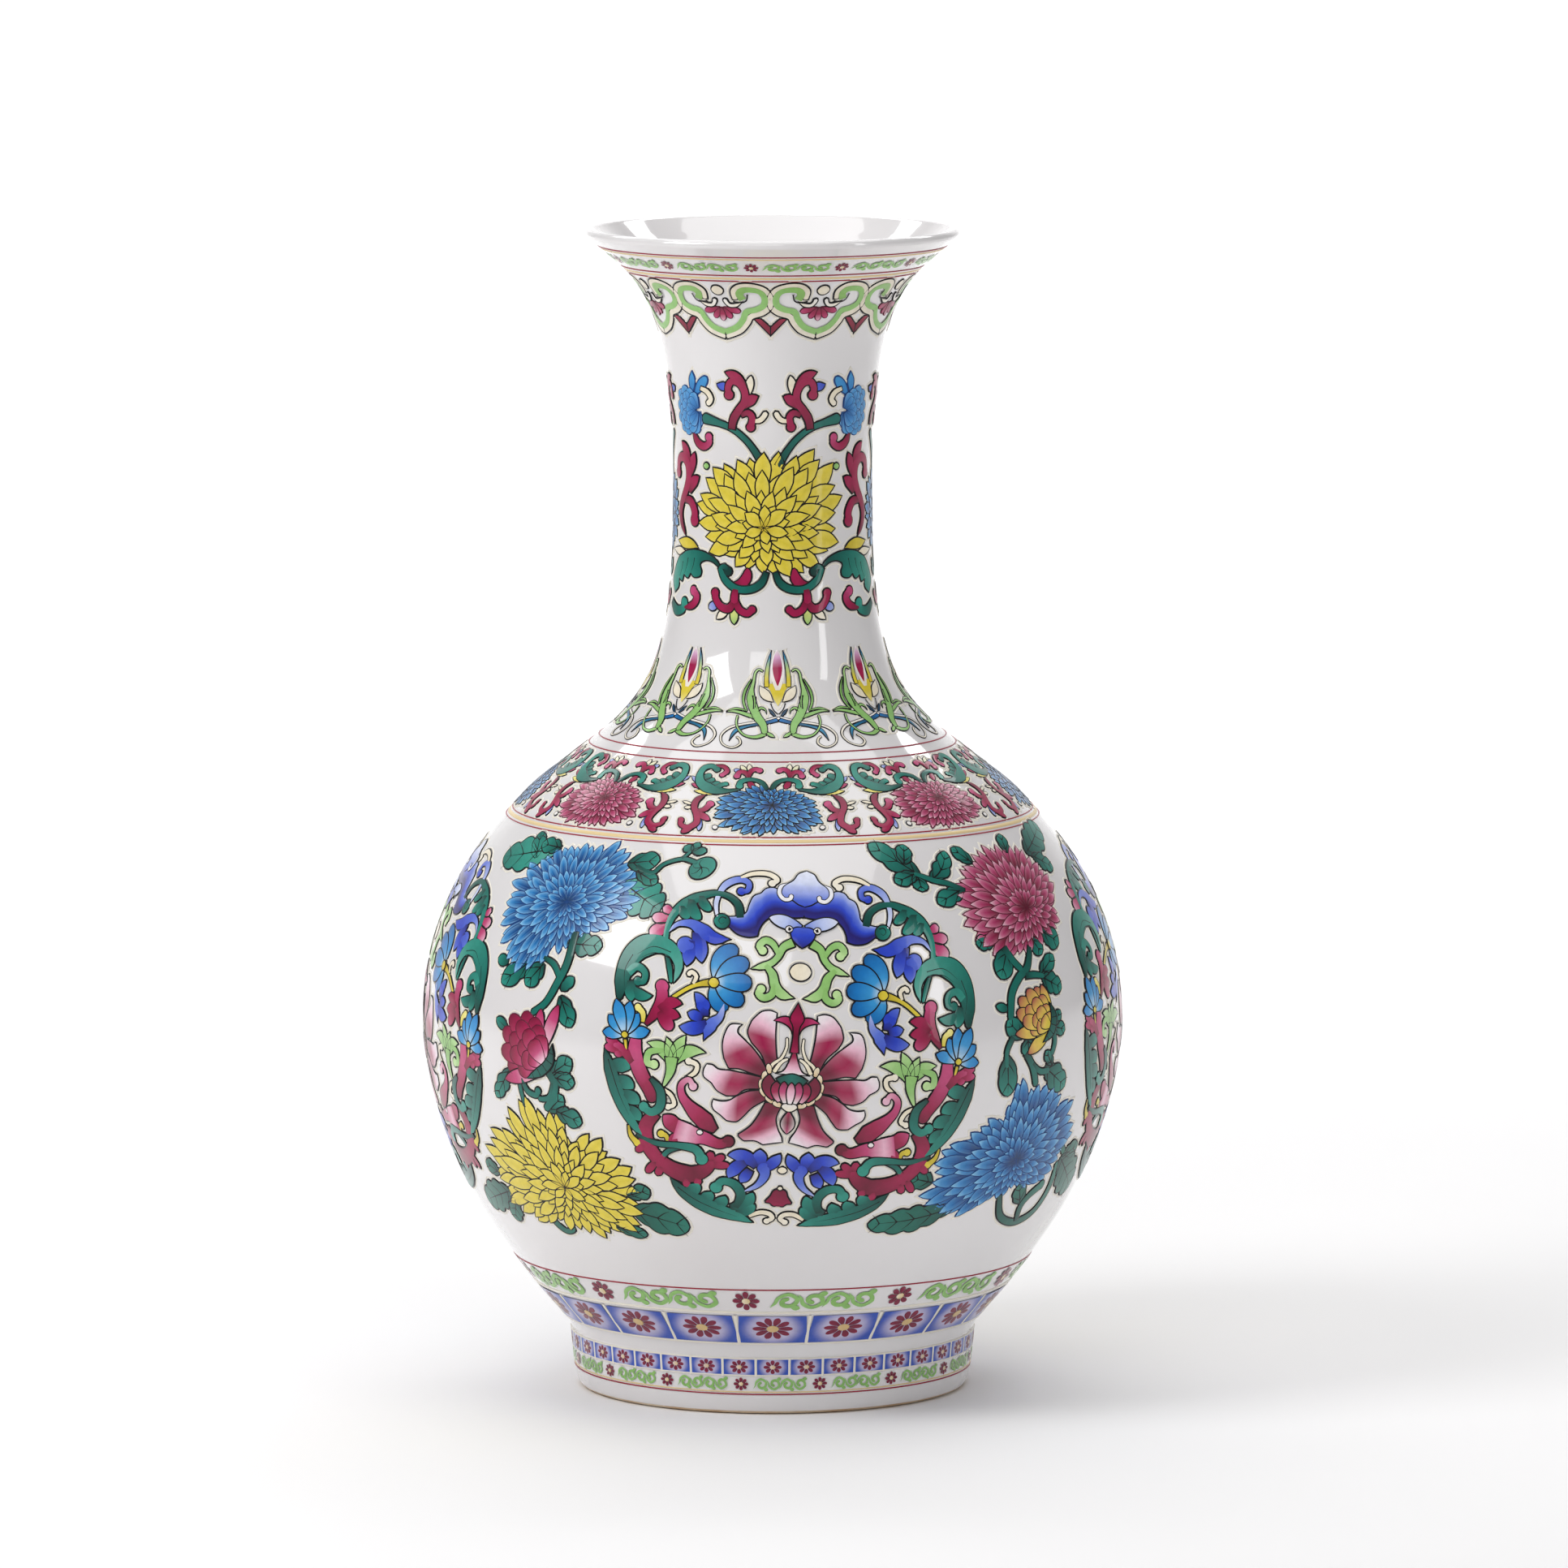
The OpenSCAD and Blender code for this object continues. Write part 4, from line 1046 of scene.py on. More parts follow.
def neck_side_group():
    """The smaller blue flower between the two yellow ones, with rose scrolls above and below."""
    d = Drawing()
    d.unit = 0.62
    for d in d.both():
        d.stroke("teal", [(2.2, 16.0), (3.6, 21.6), (6.4, 26.6), (9.0, 31.0)], [2.6, 2.2, 2.2, 2.4],
            [TEAL_DEEP, TEAL, TEAL], layer=0.1)
        with d.at(-1.6, 5.0, size=0.85):
            s_finial(d)
        bulb_stroke(d, "teal", [(1.2, -13.0), (1.8, -17.6), (4.0, -20.8), (6.6, -19.6), (6.2, -17.2)], [1.6,
            2.0, 2.0, 1.8, 1.6], [TEAL_DEEP, TEAL, TEAL], 1.2, layer=0.3)
        bulb_stroke(d, "rose", [(1.0, -26.0), (2.6, -30.4), (5.6, -31.4), (7.0, -28.6)], [1.8, 2.6, 2.4,
            2.2], bulb=1.4, layer=0.6)
    d.petal("light_green", (0, -28.6), (0, -36.4), 3.4, [YELLOW_PALE, GREEN], point=0.6)
    reach = [(0, 13), (45, 15), (90, 18), (135, 15), (180, 13), (225, 14), (270, 15), (315, 14)]
    chrysanthemum(d, "blue", np.array([0.0, 1.0]), reach, 3, 4.2, BLUE_PETALS, seed=9, ink_width=0.42,
        stretch=1.9, edge=BLUE_PALE, edge_share=0.2, point=0.95)
    return d


# ---------------------------------------------------------------- medallion


def lotus_of_medallion(d):
    """The rose lotus in the middle of the medallion."""
    dark, pale = ROSE_DEEP, rgb("#f3e3ea")
    fade = [dark, dark, ROSE, ROSE, ROSE_PALE, pale, WHITE]
    for d in d.both():
        d.band("rose", [(5.0, -7.0), (6.2, -2.0), (7.0, 4.0), (7.2, 9.0), (7.2, 12.4)], [(9.4, -7.6),
            (11.4, -2.8), (15.4, 1.4, 0), (17.0, 5.0), (15.8, 9.2, 0), (12.8, 12.4), (9.6, 13.2),
            (7.2, 12.4)], fade, across=7, edge=pale, edge_share=0.22)
        d.band("rose", [(9.0, -7.8), (11.4, -4.2), (14.8, -0.4), (18.4, 2.6), (20.4, 4.4), (20.2, 6.2),
            (19.2, 7.3)], [(9.4, -10.6), (15.0, -9.4), (19.0, -8.4), (22.6, -8.6, 0), (24.6, -5.2, 0),
            (25.5, -1.0), (25.1, 3.2), (23.2, 7.0), (19.2, 7.3)], fade, across=7, layer=0.2, edge=pale,
            edge_share=0.22)
        d.band("rose", [(10.0, -10.6), (16.0, -9.8), (22.0, -9.2), (26.0, -9.2), (28.4, -7.9),
            (30.4, -7.9)], [(10.0, -14.8), (16.0, -15.6), (19.0, -18.0), (22.6, -18.5, 0), (26.0, -17.0),
            (28.2, -14.4, 0), (31.2, -12.4), (31.4, -9.8), (30.4, -7.9)], fade, across=7, layer=0.4,
            edge=pale, edge_share=0.22)
        d.band("rose", [(9.4, -15.0), (14.8, -16.0), (18.6, -18.0), (21.4, -20.0), (24.2, -20.6),
            (26.9, -20.3)], [(8.0, -18.4), (12.8, -21.8), (15.6, -25.2), (18.0, -27.6), (21.6, -27.6, 0),
            (24.2, -25.6, 0), (26.6, -24.0), (27.4, -22.0), (26.9, -20.3)], fade, across=7, layer=0.6,
            edge=pale, edge_share=0.22)
        d.band("rose", [(2.8, -20.6), (4.2, -25.0), (3.2, -29.0), (1.6, -32.0), (1.2, -33.8)],
            [(8.6, -19.4), (10.6, -24.4), (12.8, -28.4), (15.2, -30.8), (17.0, -32.6), (14.8, -34.6, 0),
            (10.8, -34.2), (8.0, -35.4, 0), (4.6, -34.6), (1.2, -33.8)], fade, across=7, layer=0.8,
            edge=pale, edge_share=0.22)
        d.stroke("cream", [(8.6, -9.0), (7.2, -5.6), (4.4, -3.2), (2.9, 0.6), (3.0, 4.2)], [1.6, 1.3, 1.2,
            1.1, 0.9], layer=1.2, ink_width=0.3, beads=False)
        d.stroke("cream", [(6.6, -8.4), (4.4, -4.8), (1.9, -3.2)], [1.6, 1.5, 1.0], layer=1.3,
            ink_width=0.3, beads=False)
        for x, y, turn in ((8.4, -7.2, 75), (9.8, -9.9, 100), (10.6, -12.8, 90), (9.8, -15.8, 55),
                (7.4, -18.2, 40), (4.4, -19.8, 20)):
            with d.at(x, y, turn):
                d.petal("cream", (-1.8, 0), (1.8, 0), 2.1, [rgb("#d9b98a"), CREAM], point=0.45, waist=0.6,
                    layer=1.4, ink_width=0.3, beads=False)
        d.petal("rose", (5.4, -17.6), (8.0, -9.2), 5.2, [ROSE, dark, dark], bend=-0.12, layer=2.0,
            beads=False, waist=0.5)
        d.petal("rose", (3.4, -18.6), (5.3, -11.6), 4.2, [ROSE_PALE, ROSE, dark], bend=-0.08, layer=2.3,
            beads=False, waist=0.5, point=0.55)
        d.petal("rose", (1.6, -19.2), (2.6, -11.4), 3.6, [WHITE, ROSE_MID, dark], bend=-0.04, layer=2.6,
            beads=False, waist=0.5, point=0.55)
        d.petal("rose", (0.4, 4.6), (8.0, 9.8), 3.0, [dark, ROSE, ROSE_MID], bend=0.32, layer=1.8,
            beads=False)
    d.petal("cream", (0, -22.2), (0, -19.0), 6.0, [CREAM, WHITE], layer=1.6, beads=False, point=0.4)
    d.petal("rose", (0, -19.4), (0, -11.6), 3.2, [WHITE, ROSE_PALE, ROSE], layer=2.9, beads=False,
        point=0.55, waist=0.5)
    d.band("rose", [(-6.2, -8.6), (-3.4, -7.6), (-1.6, -4.0), (0, 1.5)], [(6.2, -8.6), (3.4, -7.6),
        (1.6, -4.0), (0, 1.5)], [WHITE, ROSE_PALE, ROSE, dark], layer=1.3, beads=False)
    d.band("teal", [(-5.6, -10.6), (-3.6, -9.4), (0, -8.4), (3.6, -9.4), (5.6, -10.6)], [(-5.6, -10.6),
        (-3.6, -12.6), (0, -13.4), (3.6, -12.6), (5.6, -10.6)], [TEAL_DEEP, TEAL, TEAL_DEEP], layer=1.7,
        beads=False)
    d.band("rose", [(-1.6, -1.0), (-1.1, 4.0), (-1.3, 8.0), (-2.6, 11.0), (-1.2, 14.4), (0, 16.6)],
        [(1.6, -1.0), (1.1, 4.0), (1.3, 8.0), (2.6, 11.0), (1.2, 14.4), (0, 16.6)], [ROSE, dark, ROSE,
        dark], layer=2.1)
    d.petal("rose", (0, -22.4), (0, -30.6), 5.2, [ROSE, dark, ROSE_MID], layer=1.0, edge=WHITE,
        edge_share=0.8, across=7, point=0.8, waist=0.2)


def bat_of_medallion(d):
    """A cloud-winged bat: cobalt wings, pale crest and a plain mask of beads."""
    indigo = rgb("#231c6b")
    for d in d.both():
        with d.merged():
            d.stroke("teal", [(22.4, 45.6), (23.4, 50.4), (27.0, 53.4), (32.0, 54.0), (38.0, 51.6),
                (43.0, 48.2), (46.6, 43.8), (48.4, 38.6), (48.8, 33.6)], [2.6, 2.4, 2.0, 2.2, 3.4, 3.4, 2.6,
                2.0, 1.8], start="flat", layer=0.2)
            for base, tip, wide in (((36.6, 52.4), (32.8, 47.4), 3.4), ((40.2, 50.6), (36.4, 43.6), 4.2),
                    ((43.6, 47.6), (40.4, 43.6), 3.4)):
                d.petal("teal", base, tip, wide, bend=0.16, layer=0.4, waist=0.7, point=0.5)
        bulb_stroke(d, "cobalt", [(30.6, 45.2), (31.2, 51.0), (28.6, 57.4), (23.8, 60.4), (20.2, 59.4),
            (20.4, 56.4), (22.6, 55.8)], [0.9, 1.5, 1.7, 2.4, 2.4, 1.9, 1.7], [rgb("#e6e9f7"), COBALT_PALE,
            COBALT_MID, COBALT], 1.4)
        bulb_stroke(d, "cream", [(23.0, 61.2), (18.6, 63.3), (13.4, 63.6), (10.2, 61.6), (11.9, 60.0)],
            [1.0, 1.5, 1.7, 1.8, 1.8], bulb=1.3)
        d.band("cobalt", [(0, 57.4), (5.0, 56.6), (8.8, 57.4, 0), (11.2, 58.4), (14.0, 57.8), (15.6, 55.8,
            0), (18.2, 54.4), (19.6, 51.0), (20.4, 48.0), (22.6, 46.4), (27.0, 45.6)], [(0, 47.6),
            (4.0, 47.2), (8.0, 48.0), (11.6, 46.8), (14.0, 44.6), (15.4, 41.8), (15.8, 39.4, 0),
            (19.0, 38.6), (23.2, 39.4), (27.0, 42.4)], COBALT, side_tones=[rgb("#b3bfe8"), COBALT_MID,
            COBALT, indigo, rgb("#2b2a86")], across=9, layer=0.6, count=44)
        d.disc("teal", 28.8, 43.6, 2.9, layer=0.9)
        d.line([(27.4, 44.8), (28.9, 45.2), (30.0, 43.8), (28.9, 42.5), (27.9, 43.4)], 0.34, layer=0.9)
        d.petal("cobalt", (1.0, 43.2), (12.2, 46.6), 5.0, [COBALT_MID, COBALT_PALE, rgb("#dfe3f5")],
            bend=0.04, layer=1.2, point=0.6, waist=0.6, beads=False)
        d.stroke("cream", [(6.4, 60.4), (8.7, 59.0), (9.2, 56.2), (7.4, 54.0), (5.2, 54.4), (5.0, 56.2)],
            [0.8, 1.5, 1.6, 1.6, 1.6, 1.7], [rgb("#e9ebf6"), WHITE], layer=2.4, ink_width=0.3, beads=False,
            start="point")
        d.disc("cream", 5.0, 42.8, 1.3, [WHITE], layer=2.2, ink_width=0.4, beads=False)
        d.line([(4.5, 42.5), (4.9, 42.8), (5.3, 42.9)], 1.0, layer=3.4, taper=False)
    side = [(0, 65.8), (2.8, 64.6), (4.4, 62.0), (6.4, 60.4), (8.6, 59.2), (9.2, 56.8), (7.6, 54.6),
        (4.8, 54.0), (2.4, 52.4), (0, 51.6)]
    d.band("cobalt", [(-x, y) for x, y in side], side, [rgb("#eceefa"), rgb("#cdd5f2"), COBALT_MID, COBALT],
        layer=1.5, across=7)
    side = [(0, 43.6), (2.4, 43.8), (4.4, 42.4), (3.9, 39.6), (2.0, 37.4), (0, 36.2)]
    d.band("cobalt", [(-x, y) for x, y in side], side, [COBALT_MID, COBALT, indigo], layer=2.0, across=7)


def medallion():
    """The round medallion: lotus, bat above it, and a wreath of scrolls, flowers and leaves."""
    d = Drawing()
    lotus_of_medallion(d)
    bat_of_medallion(d)
    magenta = [ROSE_DEEP, ROSE, ROSE_MID]
    for d in d.both():
        # Rose bud and acanthus curl.
        for base, tip, wide in (((48.2, 39.6), (55.0, 35.6), 5.0), ((47.6, 42.4), (54.4, 41.8), 4.4),
                ((47.0, 45.0), (50.6, 46.2), 4.0)):
            d.petal("rose", base, tip, wide, [ROSE, ROSE_MID, ROSE_PALE], point=0.4, layer=0.5, waist=0.5)
        pale_teal = [rgb("#6fb3a5"), TEAL_MID, TEAL, TEAL_DEEP]
        with d.merged():
            d.stroke("teal", [(48.2, 29.6), (46.6, 24.6), (45.6, 19.2)], [1.0, 1.7, 1.0], layer=0.2)
            d.stroke("teal", [(44.6, 19.4), (43.2, 25.4), (45.8, 30.6), (51.4, 32.4), (57.4, 30.4),
                (61.6, 25.8), (63.8, 19.8), (64.4, 14.6), (64.8, 10.6)], [0.8, 2.8, 4.6, 6.4, 7.6, 7.0, 6.0,
                5.0, 1.6], pale_teal, layer=0.6, start="point", across=7)
            d.petal("teal", (61.0, 17.8), (60.0, 10.6), 4.4, layer=0.5, waist=0.7)
            d.petal("teal", (61.6, 16.8), (52.4, 13.6), 3.8, layer=0.4, bend=0.18)
            bulb_stroke(d, "teal", [(61.8, 20.6), (58.8, 23.2), (55.6, 21.6), (55.8, 18.4), (58.0, 18.0)],
                [3.0, 2.8, 2.4, 2.2, 2.2], [TEAL_MID, TEAL], 1.5, layer=0.9)
            for path in (((47.0, 28.0), (52.4, 29.0), (57.4, 26.6)), ((46.4, 30.0), (53.0, 31.2),
                    (59.0, 27.6)), ((60.6, 27.2), (63.2, 21.6), (63.0, 15.4))):
                d.line(list(path), 0.32, layer=0.6)
        # Cup flower on its yellow stem.
        d.stroke("yellow", [(30.6, 21.0), (35.0, 20.0), (39.6, 17.8), (45.4, 13.4)], [3.2, 1.8, 1.7, 1.7],
            layer=0.4, start="flat")
        cup = [rgb("#d8eef6"), BLUE_MID, BLUE, BLUE_DEEP]
        for k, (tip, wide, bend) in enumerate((((22.4, 34.2), 6.6, 0.2), ((24.6, 12.2), 6.4, -0.2),
                ((18.2, 29.4), 6.8, 0.1), ((19.0, 15.4), 6.4, -0.1), ((16.8, 22.2), 6.6, 0.0), )):
            d.petal("blue", (29.6, 21.6), tip, wide, cup, bend=-bend, point=0.36, widest=0.68, waist=0.22,
                layer=0.6 + 0.5 * k, across=6, edge=BLUE_DEEP, edge_share=0.25)
        d.disc("yellow", 30.2, 21.0, 1.9, layer=3.4)
        bulb_stroke(d, "cream", [(37.6, 19.8), (36.6, 22.4), (38.4, 23.9), (39.7, 22.4)], [0.9, 1.4, 1.5,
            1.6])
        # Light-green scrolls beside the gem.
        with d.merged():
            d.stroke("light_green", [(3.4, 38.0), (6.6, 36.0), (8.4, 32.2), (11.4, 29.4), (17.2, 27.4)],
                [3.0, 2.4, 2.0, 2.4, 0.6], end="point")
            bulb_stroke(d, "light_green", [(8.2, 33.4), (10.2, 36.8), (13.0, 38.0), (15.0, 35.8),
                (13.8, 34.2)], [1.4, 2.0, 2.4, 2.4, 2.4], bulb=1.5, layer=0.3)
            d.stroke("light_green", [(12.4, 29.0), (9.8, 26.0), (8.6, 22.0), (6.0, 19.2), (1.8, 18.2)],
                [1.6, 2.8, 3.2, 3.2, 0.6], end="point", layer=0.4)
            bulb_stroke(d, "light_green", [(9.0, 22.6), (9.4, 19.0), (12.2, 17.4), (14.2, 18.8),
                (13.4, 20.4)], [1.6, 2.4, 2.4, 2.4, 2.4], bulb=1.5, layer=0.5)
        # Cobalt leaves.
        with d.merged():
            d.petal("cobalt", (37.2, 38.6), (35.0, 27.8), 5.2, COBALTS, waist=0.7, layer=0.3)
            d.petal("cobalt", (39.2, 35.2), (40.4, 26.0), 4.6, COBALTS, waist=0.7, layer=0.4)
            d.disc("cobalt", 41.2, 33.2, 3.0, [COBALT, COBALT_MID], layer=0.5)
            d.stroke("cobalt", [(47.8, 37.2), (44.6, 40.6), (39.6, 41.4), (35.4, 39.2), (31.0, 37.0),
                (25.6, 37.2)], [0.7, 1.6, 3.2, 5.2, 4.0, 0.5], [COBALT_PALE, COBALT_MID, COBALT, COBALT],
                end="point", start="point", layer=0.6)
        with d.merged():
            d.petal("cobalt", (32.6, 9.0), (36.6, 16.6), 3.8, COBALTS, waist=0.7, layer=0.3, bend=0.1)
            d.disc("cobalt", 33.4, 12.6, 2.4, [COBALT], layer=0.35)
            d.petal("cobalt", (31.4, 6.2), (41.2, 4.2), 4.6, COBALTS, waist=0.7, layer=0.4, bend=-0.1)
            d.petal("cobalt", (33.4, 8.0), (38.6, 9.4), 3.6, COBALTS, waist=0.7, layer=0.3)
            d.stroke("cobalt", [(26.0, 14.0), (27.2, 9.2), (30.2, 6.0), (32.2, 0.6)], [0.9, 2.4, 4.4, 0.6],
                [COBALT_PALE, COBALT_MID, COBALT], start="point", end="point", layer=0.6)
        # Light-green palmette at the side.
        for tip, wide, bend in (((31.2, -4.0), 4.8, 0.22), ((52.8, -3.0), 5.0, -0.2), ((38.8, 1.4), 4.8,
                0.06), ((45.8, -0.2), 4.4, -0.06)):
            d.petal("light_green", (43.2, -11.0), tip, wide, bend=-bend, layer=0.4, point=0.9, waist=0.3)
        bulb_stroke(d, "light_green", [(46.4, -5.0), (51.6, -6.2), (52.2, -10.0), (49.6, -10.4)], [1.4, 2.2,
            2.4, 2.4], bulb=1.6, layer=0.2)
        d.stroke("light_green", [(43.4, -7.0), (43.4, -12.0), (45.4, -17.8)], [5.0, 3.2, 1.2], layer=0.8)
        # Rose trefoil, yellow hook and blue flower.
        with d.merged():
            bulb_stroke(d, "rose", [(53.8, 3.4), (50.8, 7.6), (48.6, 12.4), (48.8, 17.4)], [1.2, 3.4, 4.2,
                3.8], magenta, 2.3, layer=0.5)
            d.petal("rose", (49.6, 9.6), (41.2, 12.2), 4.0, layer=0.6, bend=-0.12, waist=0.6)
            d.petal("rose", (48.8, 8.8), (41.6, 7.6), 4.0, layer=0.55, waist=0.6)
            d.petal("rose", (49.0, 8.6), (44.2, 2.6), 4.6, magenta, layer=0.7, waist=0.6, point=0.4)
        bulb_stroke(d, "yellow", [(55.0, 4.0), (55.2, 7.0), (57.2, 8.8)], [1.2, 1.9, 2.2], [YELLOW,
            YELLOW_PALE], 1.3, layer=0.3)
        for k, (tip, wide) in enumerate((((52.2, 1.2), 4.4), ((70.2, -1.6), 4.4), ((56.6, 6.8), 4.6),
                ((68.4, 4.6), 4.6), ((60.2, 10.6), 4.8), ((65.8, 10.6), 4.8))):
            d.petal("blue", (61.4, -1.6), tip, wide, [rgb("#d8eef6"), BLUE_MID, BLUE], layer=1.0 + 0.4 * k,
                waist=0.2, widest=0.66, point=0.75)
        d.stroke("yellow", [(61.2, -3.0), (60.4, -7.2)], [1.6, 1.2], layer=1.2, count=10)
        d.disc("yellow", 61.4, -1.4, 1.3, layer=4.0)
        # Rose cloud scroll that sweeps down the side.
        with d.merged():
            d.stroke("rose", [(57.2, -2.4), (57.0, -8.0), (54.4, -14.0), (50.8, -19.2), (48.6, -24.0)],
                [4.0, 5.4, 5.2, 4.8, 3.6], [ROSE_MID, ROSE_MID, ROSE, ROSE_DEEP], layer=0.4, edge=ROSE_DEEP,
                edge_share=0.35)
            for tip in ((68.6, -3.4), (69.0, -6.6), (64.8, -9.0)):
                d.petal("rose", (61.4, -7.0), tip, 3.2, magenta, point=0.4, waist=0.6, layer=0.3)
            d.stroke("rose", [(57.6, -10.6), (61.2, -7.2), (65.6, -5.2)], [3.6, 3.4, 2.6], magenta,
                layer=0.45)
        with d.merged():
            d.stroke("rose", [(47.4, -28.0), (50.6, -33.0), (49.8, -38.8), (46.0, -44.2), (40.0, -48.2),
                (33.0, -49.8), (27.6, -47.4), (24.6, -43.6)], [4.0, 5.2, 5.2, 4.8, 5.4, 6.6, 5.4, 3.0],
                [ROSE_DEEP, ROSE, ROSE, ROSE_DEEP, ROSE], layer=0.8, edge=ROSE_DEEP, edge_share=0.4)
            for base, tip in (((25.4, -45.0), (18.8, -44.6)), ((25.0, -44.2), (21.0, -41.0)),
                    ((25.2, -43.8), (26.4, -40.0)), ((45.6, -46.6), (48.6, -51.2)), ((43.4, -47.8),
                    (44.4, -51.8)), ((34.0, -51.0), (33.0, -55.0)), ((30.6, -50.4), (28.6, -53.4)),
                    ((49.6, -40.0), (53.4, -43.4))):
                d.petal("rose", base, tip, 2.8, point=0.4, waist=0.7, layer=0.6)
        # Teal strands that wrap the rose scroll.
        bulb_stroke(d, "teal", [(50.2, -15.6), (46.4, -19.6), (46.0, -25.2), (49.0, -27.8), (52.0, -26.2)],
            [1.2, 2.8, 3.2, 3.0, 2.6], bulb=1.8, layer=1.4)
        bulb_stroke(d, "teal", [(53.6, -37.0), (46.0, -39.2), (38.0, -39.0), (31.6, -39.6), (28.8, -43.2)],
            [1.0, 1.8, 2.0, 2.8, 3.2], bulb=2.1, layer=1.6)
        d.stroke("teal", [(36.4, -39.6), (41.0, -41.4), (43.4, -45.0), (42.6, -48.6)], [1.6, 2.2, 2.2, 1.2],
            layer=1.5)
        # Rose cloud head inside the wreath.
        with d.merged():
            d.petal("rose", (37.6, -33.4), (44.4, -28.4), 5.4, magenta, layer=0.3, waist=0.7)
            d.petal("rose", (37.0, -34.8), (41.0, -39.2), 5.0, layer=0.3, waist=0.7, point=0.5)
            bulb_stroke(d, "rose", [(39.6, -33.4), (34.4, -34.4), (28.8, -35.0), (23.6, -36.6),
                (20.2, -35.4)], [8.4, 7.6, 4.8, 3.6, 3.2], [ROSE_MID, ROSE_PALE, ROSE_MID, ROSE, ROSE_DEEP],
                2.0, layer=0.6)
        bulb_stroke(d, "rose", [(25.2, -31.6), (29.8, -28.2), (34.6, -24.4), (38.2, -20.4), (38.9, -16.4),
            (36.4, -14.2), (34.6, -16.4)], [2.2, 6.2, 5.4, 3.4, 2.4, 2.0, 1.8], [ROSE_DEEP, ROSE, ROSE_MID,
            ROSE_PALE], 1.4, layer=1.0)
        d.disc("cream", 30.6, -33.0, 1.1, [WHITE], layer=1.8, beads=False)
        bulb_stroke(d, "yellow", [(42.0, -38.4), (42.6, -36.0), (44.6, -35.4)], [0.9, 1.6, 2.0],
            [YELLOW_DEEP, YELLOW], 1.3, layer=0.4)
        bulb_stroke(d, "cream", [(37.4, -13.6), (34.4, -11.4), (34.0, -8.6), (37.0, -7.6)], [0.8, 1.5, 1.6,
            1.8], bulb=1.2)
        bulb_stroke(d, "cream", [(46.0, -18.4), (42.4, -20.6), (40.9, -23.8), (43.0, -25.0)], [0.8, 1.4,
            1.5, 1.6], bulb=1.1)
        # Teal wreath at the side and along the bottom.
        with d.merged():
            for base, tip, wide in (((65.6, -13.6), (58.4, -13.2), 5.0), ((63.8, -18.6), (56.6, -20.2),
                    4.8), ((61.4, -23.4), (53.8, -25.6), 4.8), ((58.6, -28.2), (53.0, -31.6), 4.4)):
                d.petal("teal", base, tip, wide, bend=-0.14, waist=0.7, layer=0.3, point=0.7)
            d.stroke("teal", [(69.0, -7.2), (66.0, -14.6), (62.8, -21.8), (59.0, -28.4), (54.6, -34.0),
                (50.4, -37.8)], [0.6, 4.4, 5.0, 4.4, 3.0, 1.2], start="point", layer=0.6)
            d.line([(67.2, -11.0), (64.6, -17.0), (61.4, -23.6), (57.4, -30.0)], 0.34, layer=0.6)
        bulb_stroke(d, "yellow", [(57.2, -34.0), (56.0, -37.6), (53.2, -40.2)], [0.6, 1.5, 2.2],
            [YELLOW_DEEP, YELLOW], 1.3, layer=0.3)
        with d.merged():
            for base, tip, wide in (((33.4, -57.0), (29.0, -53.0), 4.8), ((28.0, -59.8), (24.0, -55.8),
                    4.6), ((23.0, -61.8), (19.0, -57.0), 4.6), ((16.4, -62.0), (9.4, -54.6), 5.2),
                    ((14.6, -63.0), (8.2, -59.4), 4.4)):
                d.petal("teal", base, tip, wide, bend=0.14, waist=0.7, layer=0.3, point=0.7)
            bulb_stroke(d, "teal", [(14.8, -61.2), (13.4, -56.0), (16.2, -51.8), (20.6, -51.0),
                (22.6, -53.8)], [2.2, 3.2, 3.2, 2.8, 2.8], bulb=2.1, layer=0.9)
            d.stroke("teal", [(39.4, -52.0), (34.6, -56.6), (28.0, -60.4), (20.6, -63.2), (13.6, -65.0),
                (8.2, -67.0)], [0.8, 3.8, 5.2, 5.4, 4.0, 0.8], start="point", end="point", layer=0.6)
            d.line([(36.4, -55.4), (29.6, -59.6), (22.0, -62.6), (14.0, -65.0)], 0.34, layer=0.6)
        bulb_stroke(d, "cream", [(9.6, -64.6), (6.2, -62.6), (2.8, -62.8), (1.4, -64.6), (3.2, -66.0)],
            [1.0, 1.6, 1.7, 1.7, 1.7], bulb=1.1)
        # Cobalt pair at the bottom.
        with d.merged():
            for base, tip, wide, bend in (((7.2, -44.6), (1.4, -38.6), 4.0, 0.1), ((8.4, -44.0),
                    (8.6, -37.4), 5.0, 0.0), ((9.0, -43.6), (19.6, -40.6), 4.8, 0.14), ((13.4, -42.6),
                    (18.6, -49.4), 4.6, 0.1), ((11.4, -45.6), (14.2, -50.8), 3.8, 0.0)):
                d.petal("cobalt", base, tip, wide, COBALTS, bend=bend, waist=0.7, layer=0.4)
            d.stroke("cobalt", [(13.0, -54.6), (8.2, -51.4), (6.0, -46.8), (7.8, -42.6)], [0.6, 1.8, 3.2,
                4.6], [COBALT_PALE, COBALT_MID, COBALT], start="point", layer=0.7)
    d.disc("cream", 0, 27.6, 3.8, tall=0.85)
    d.disc("cream", 0, -44.8, 1.7, tall=0.85)
    side = [(0, -52.2), (2.2, -53.0), (3.2, -55.4), (4.8, -58.0), (3.0, -58.4, 0), (1.6, -59.6), (0, -59.0)]
    d.band("rose", [(-x, *rest) for x, *rest in side], side, [ROSE_DEEP, ROSE], layer=0.3)
    d.disc("cream", 0, -52.0, 0.9, layer=1.0, beads=False)
    return d


# ---------------------------------------------------------------- sprays on the belly


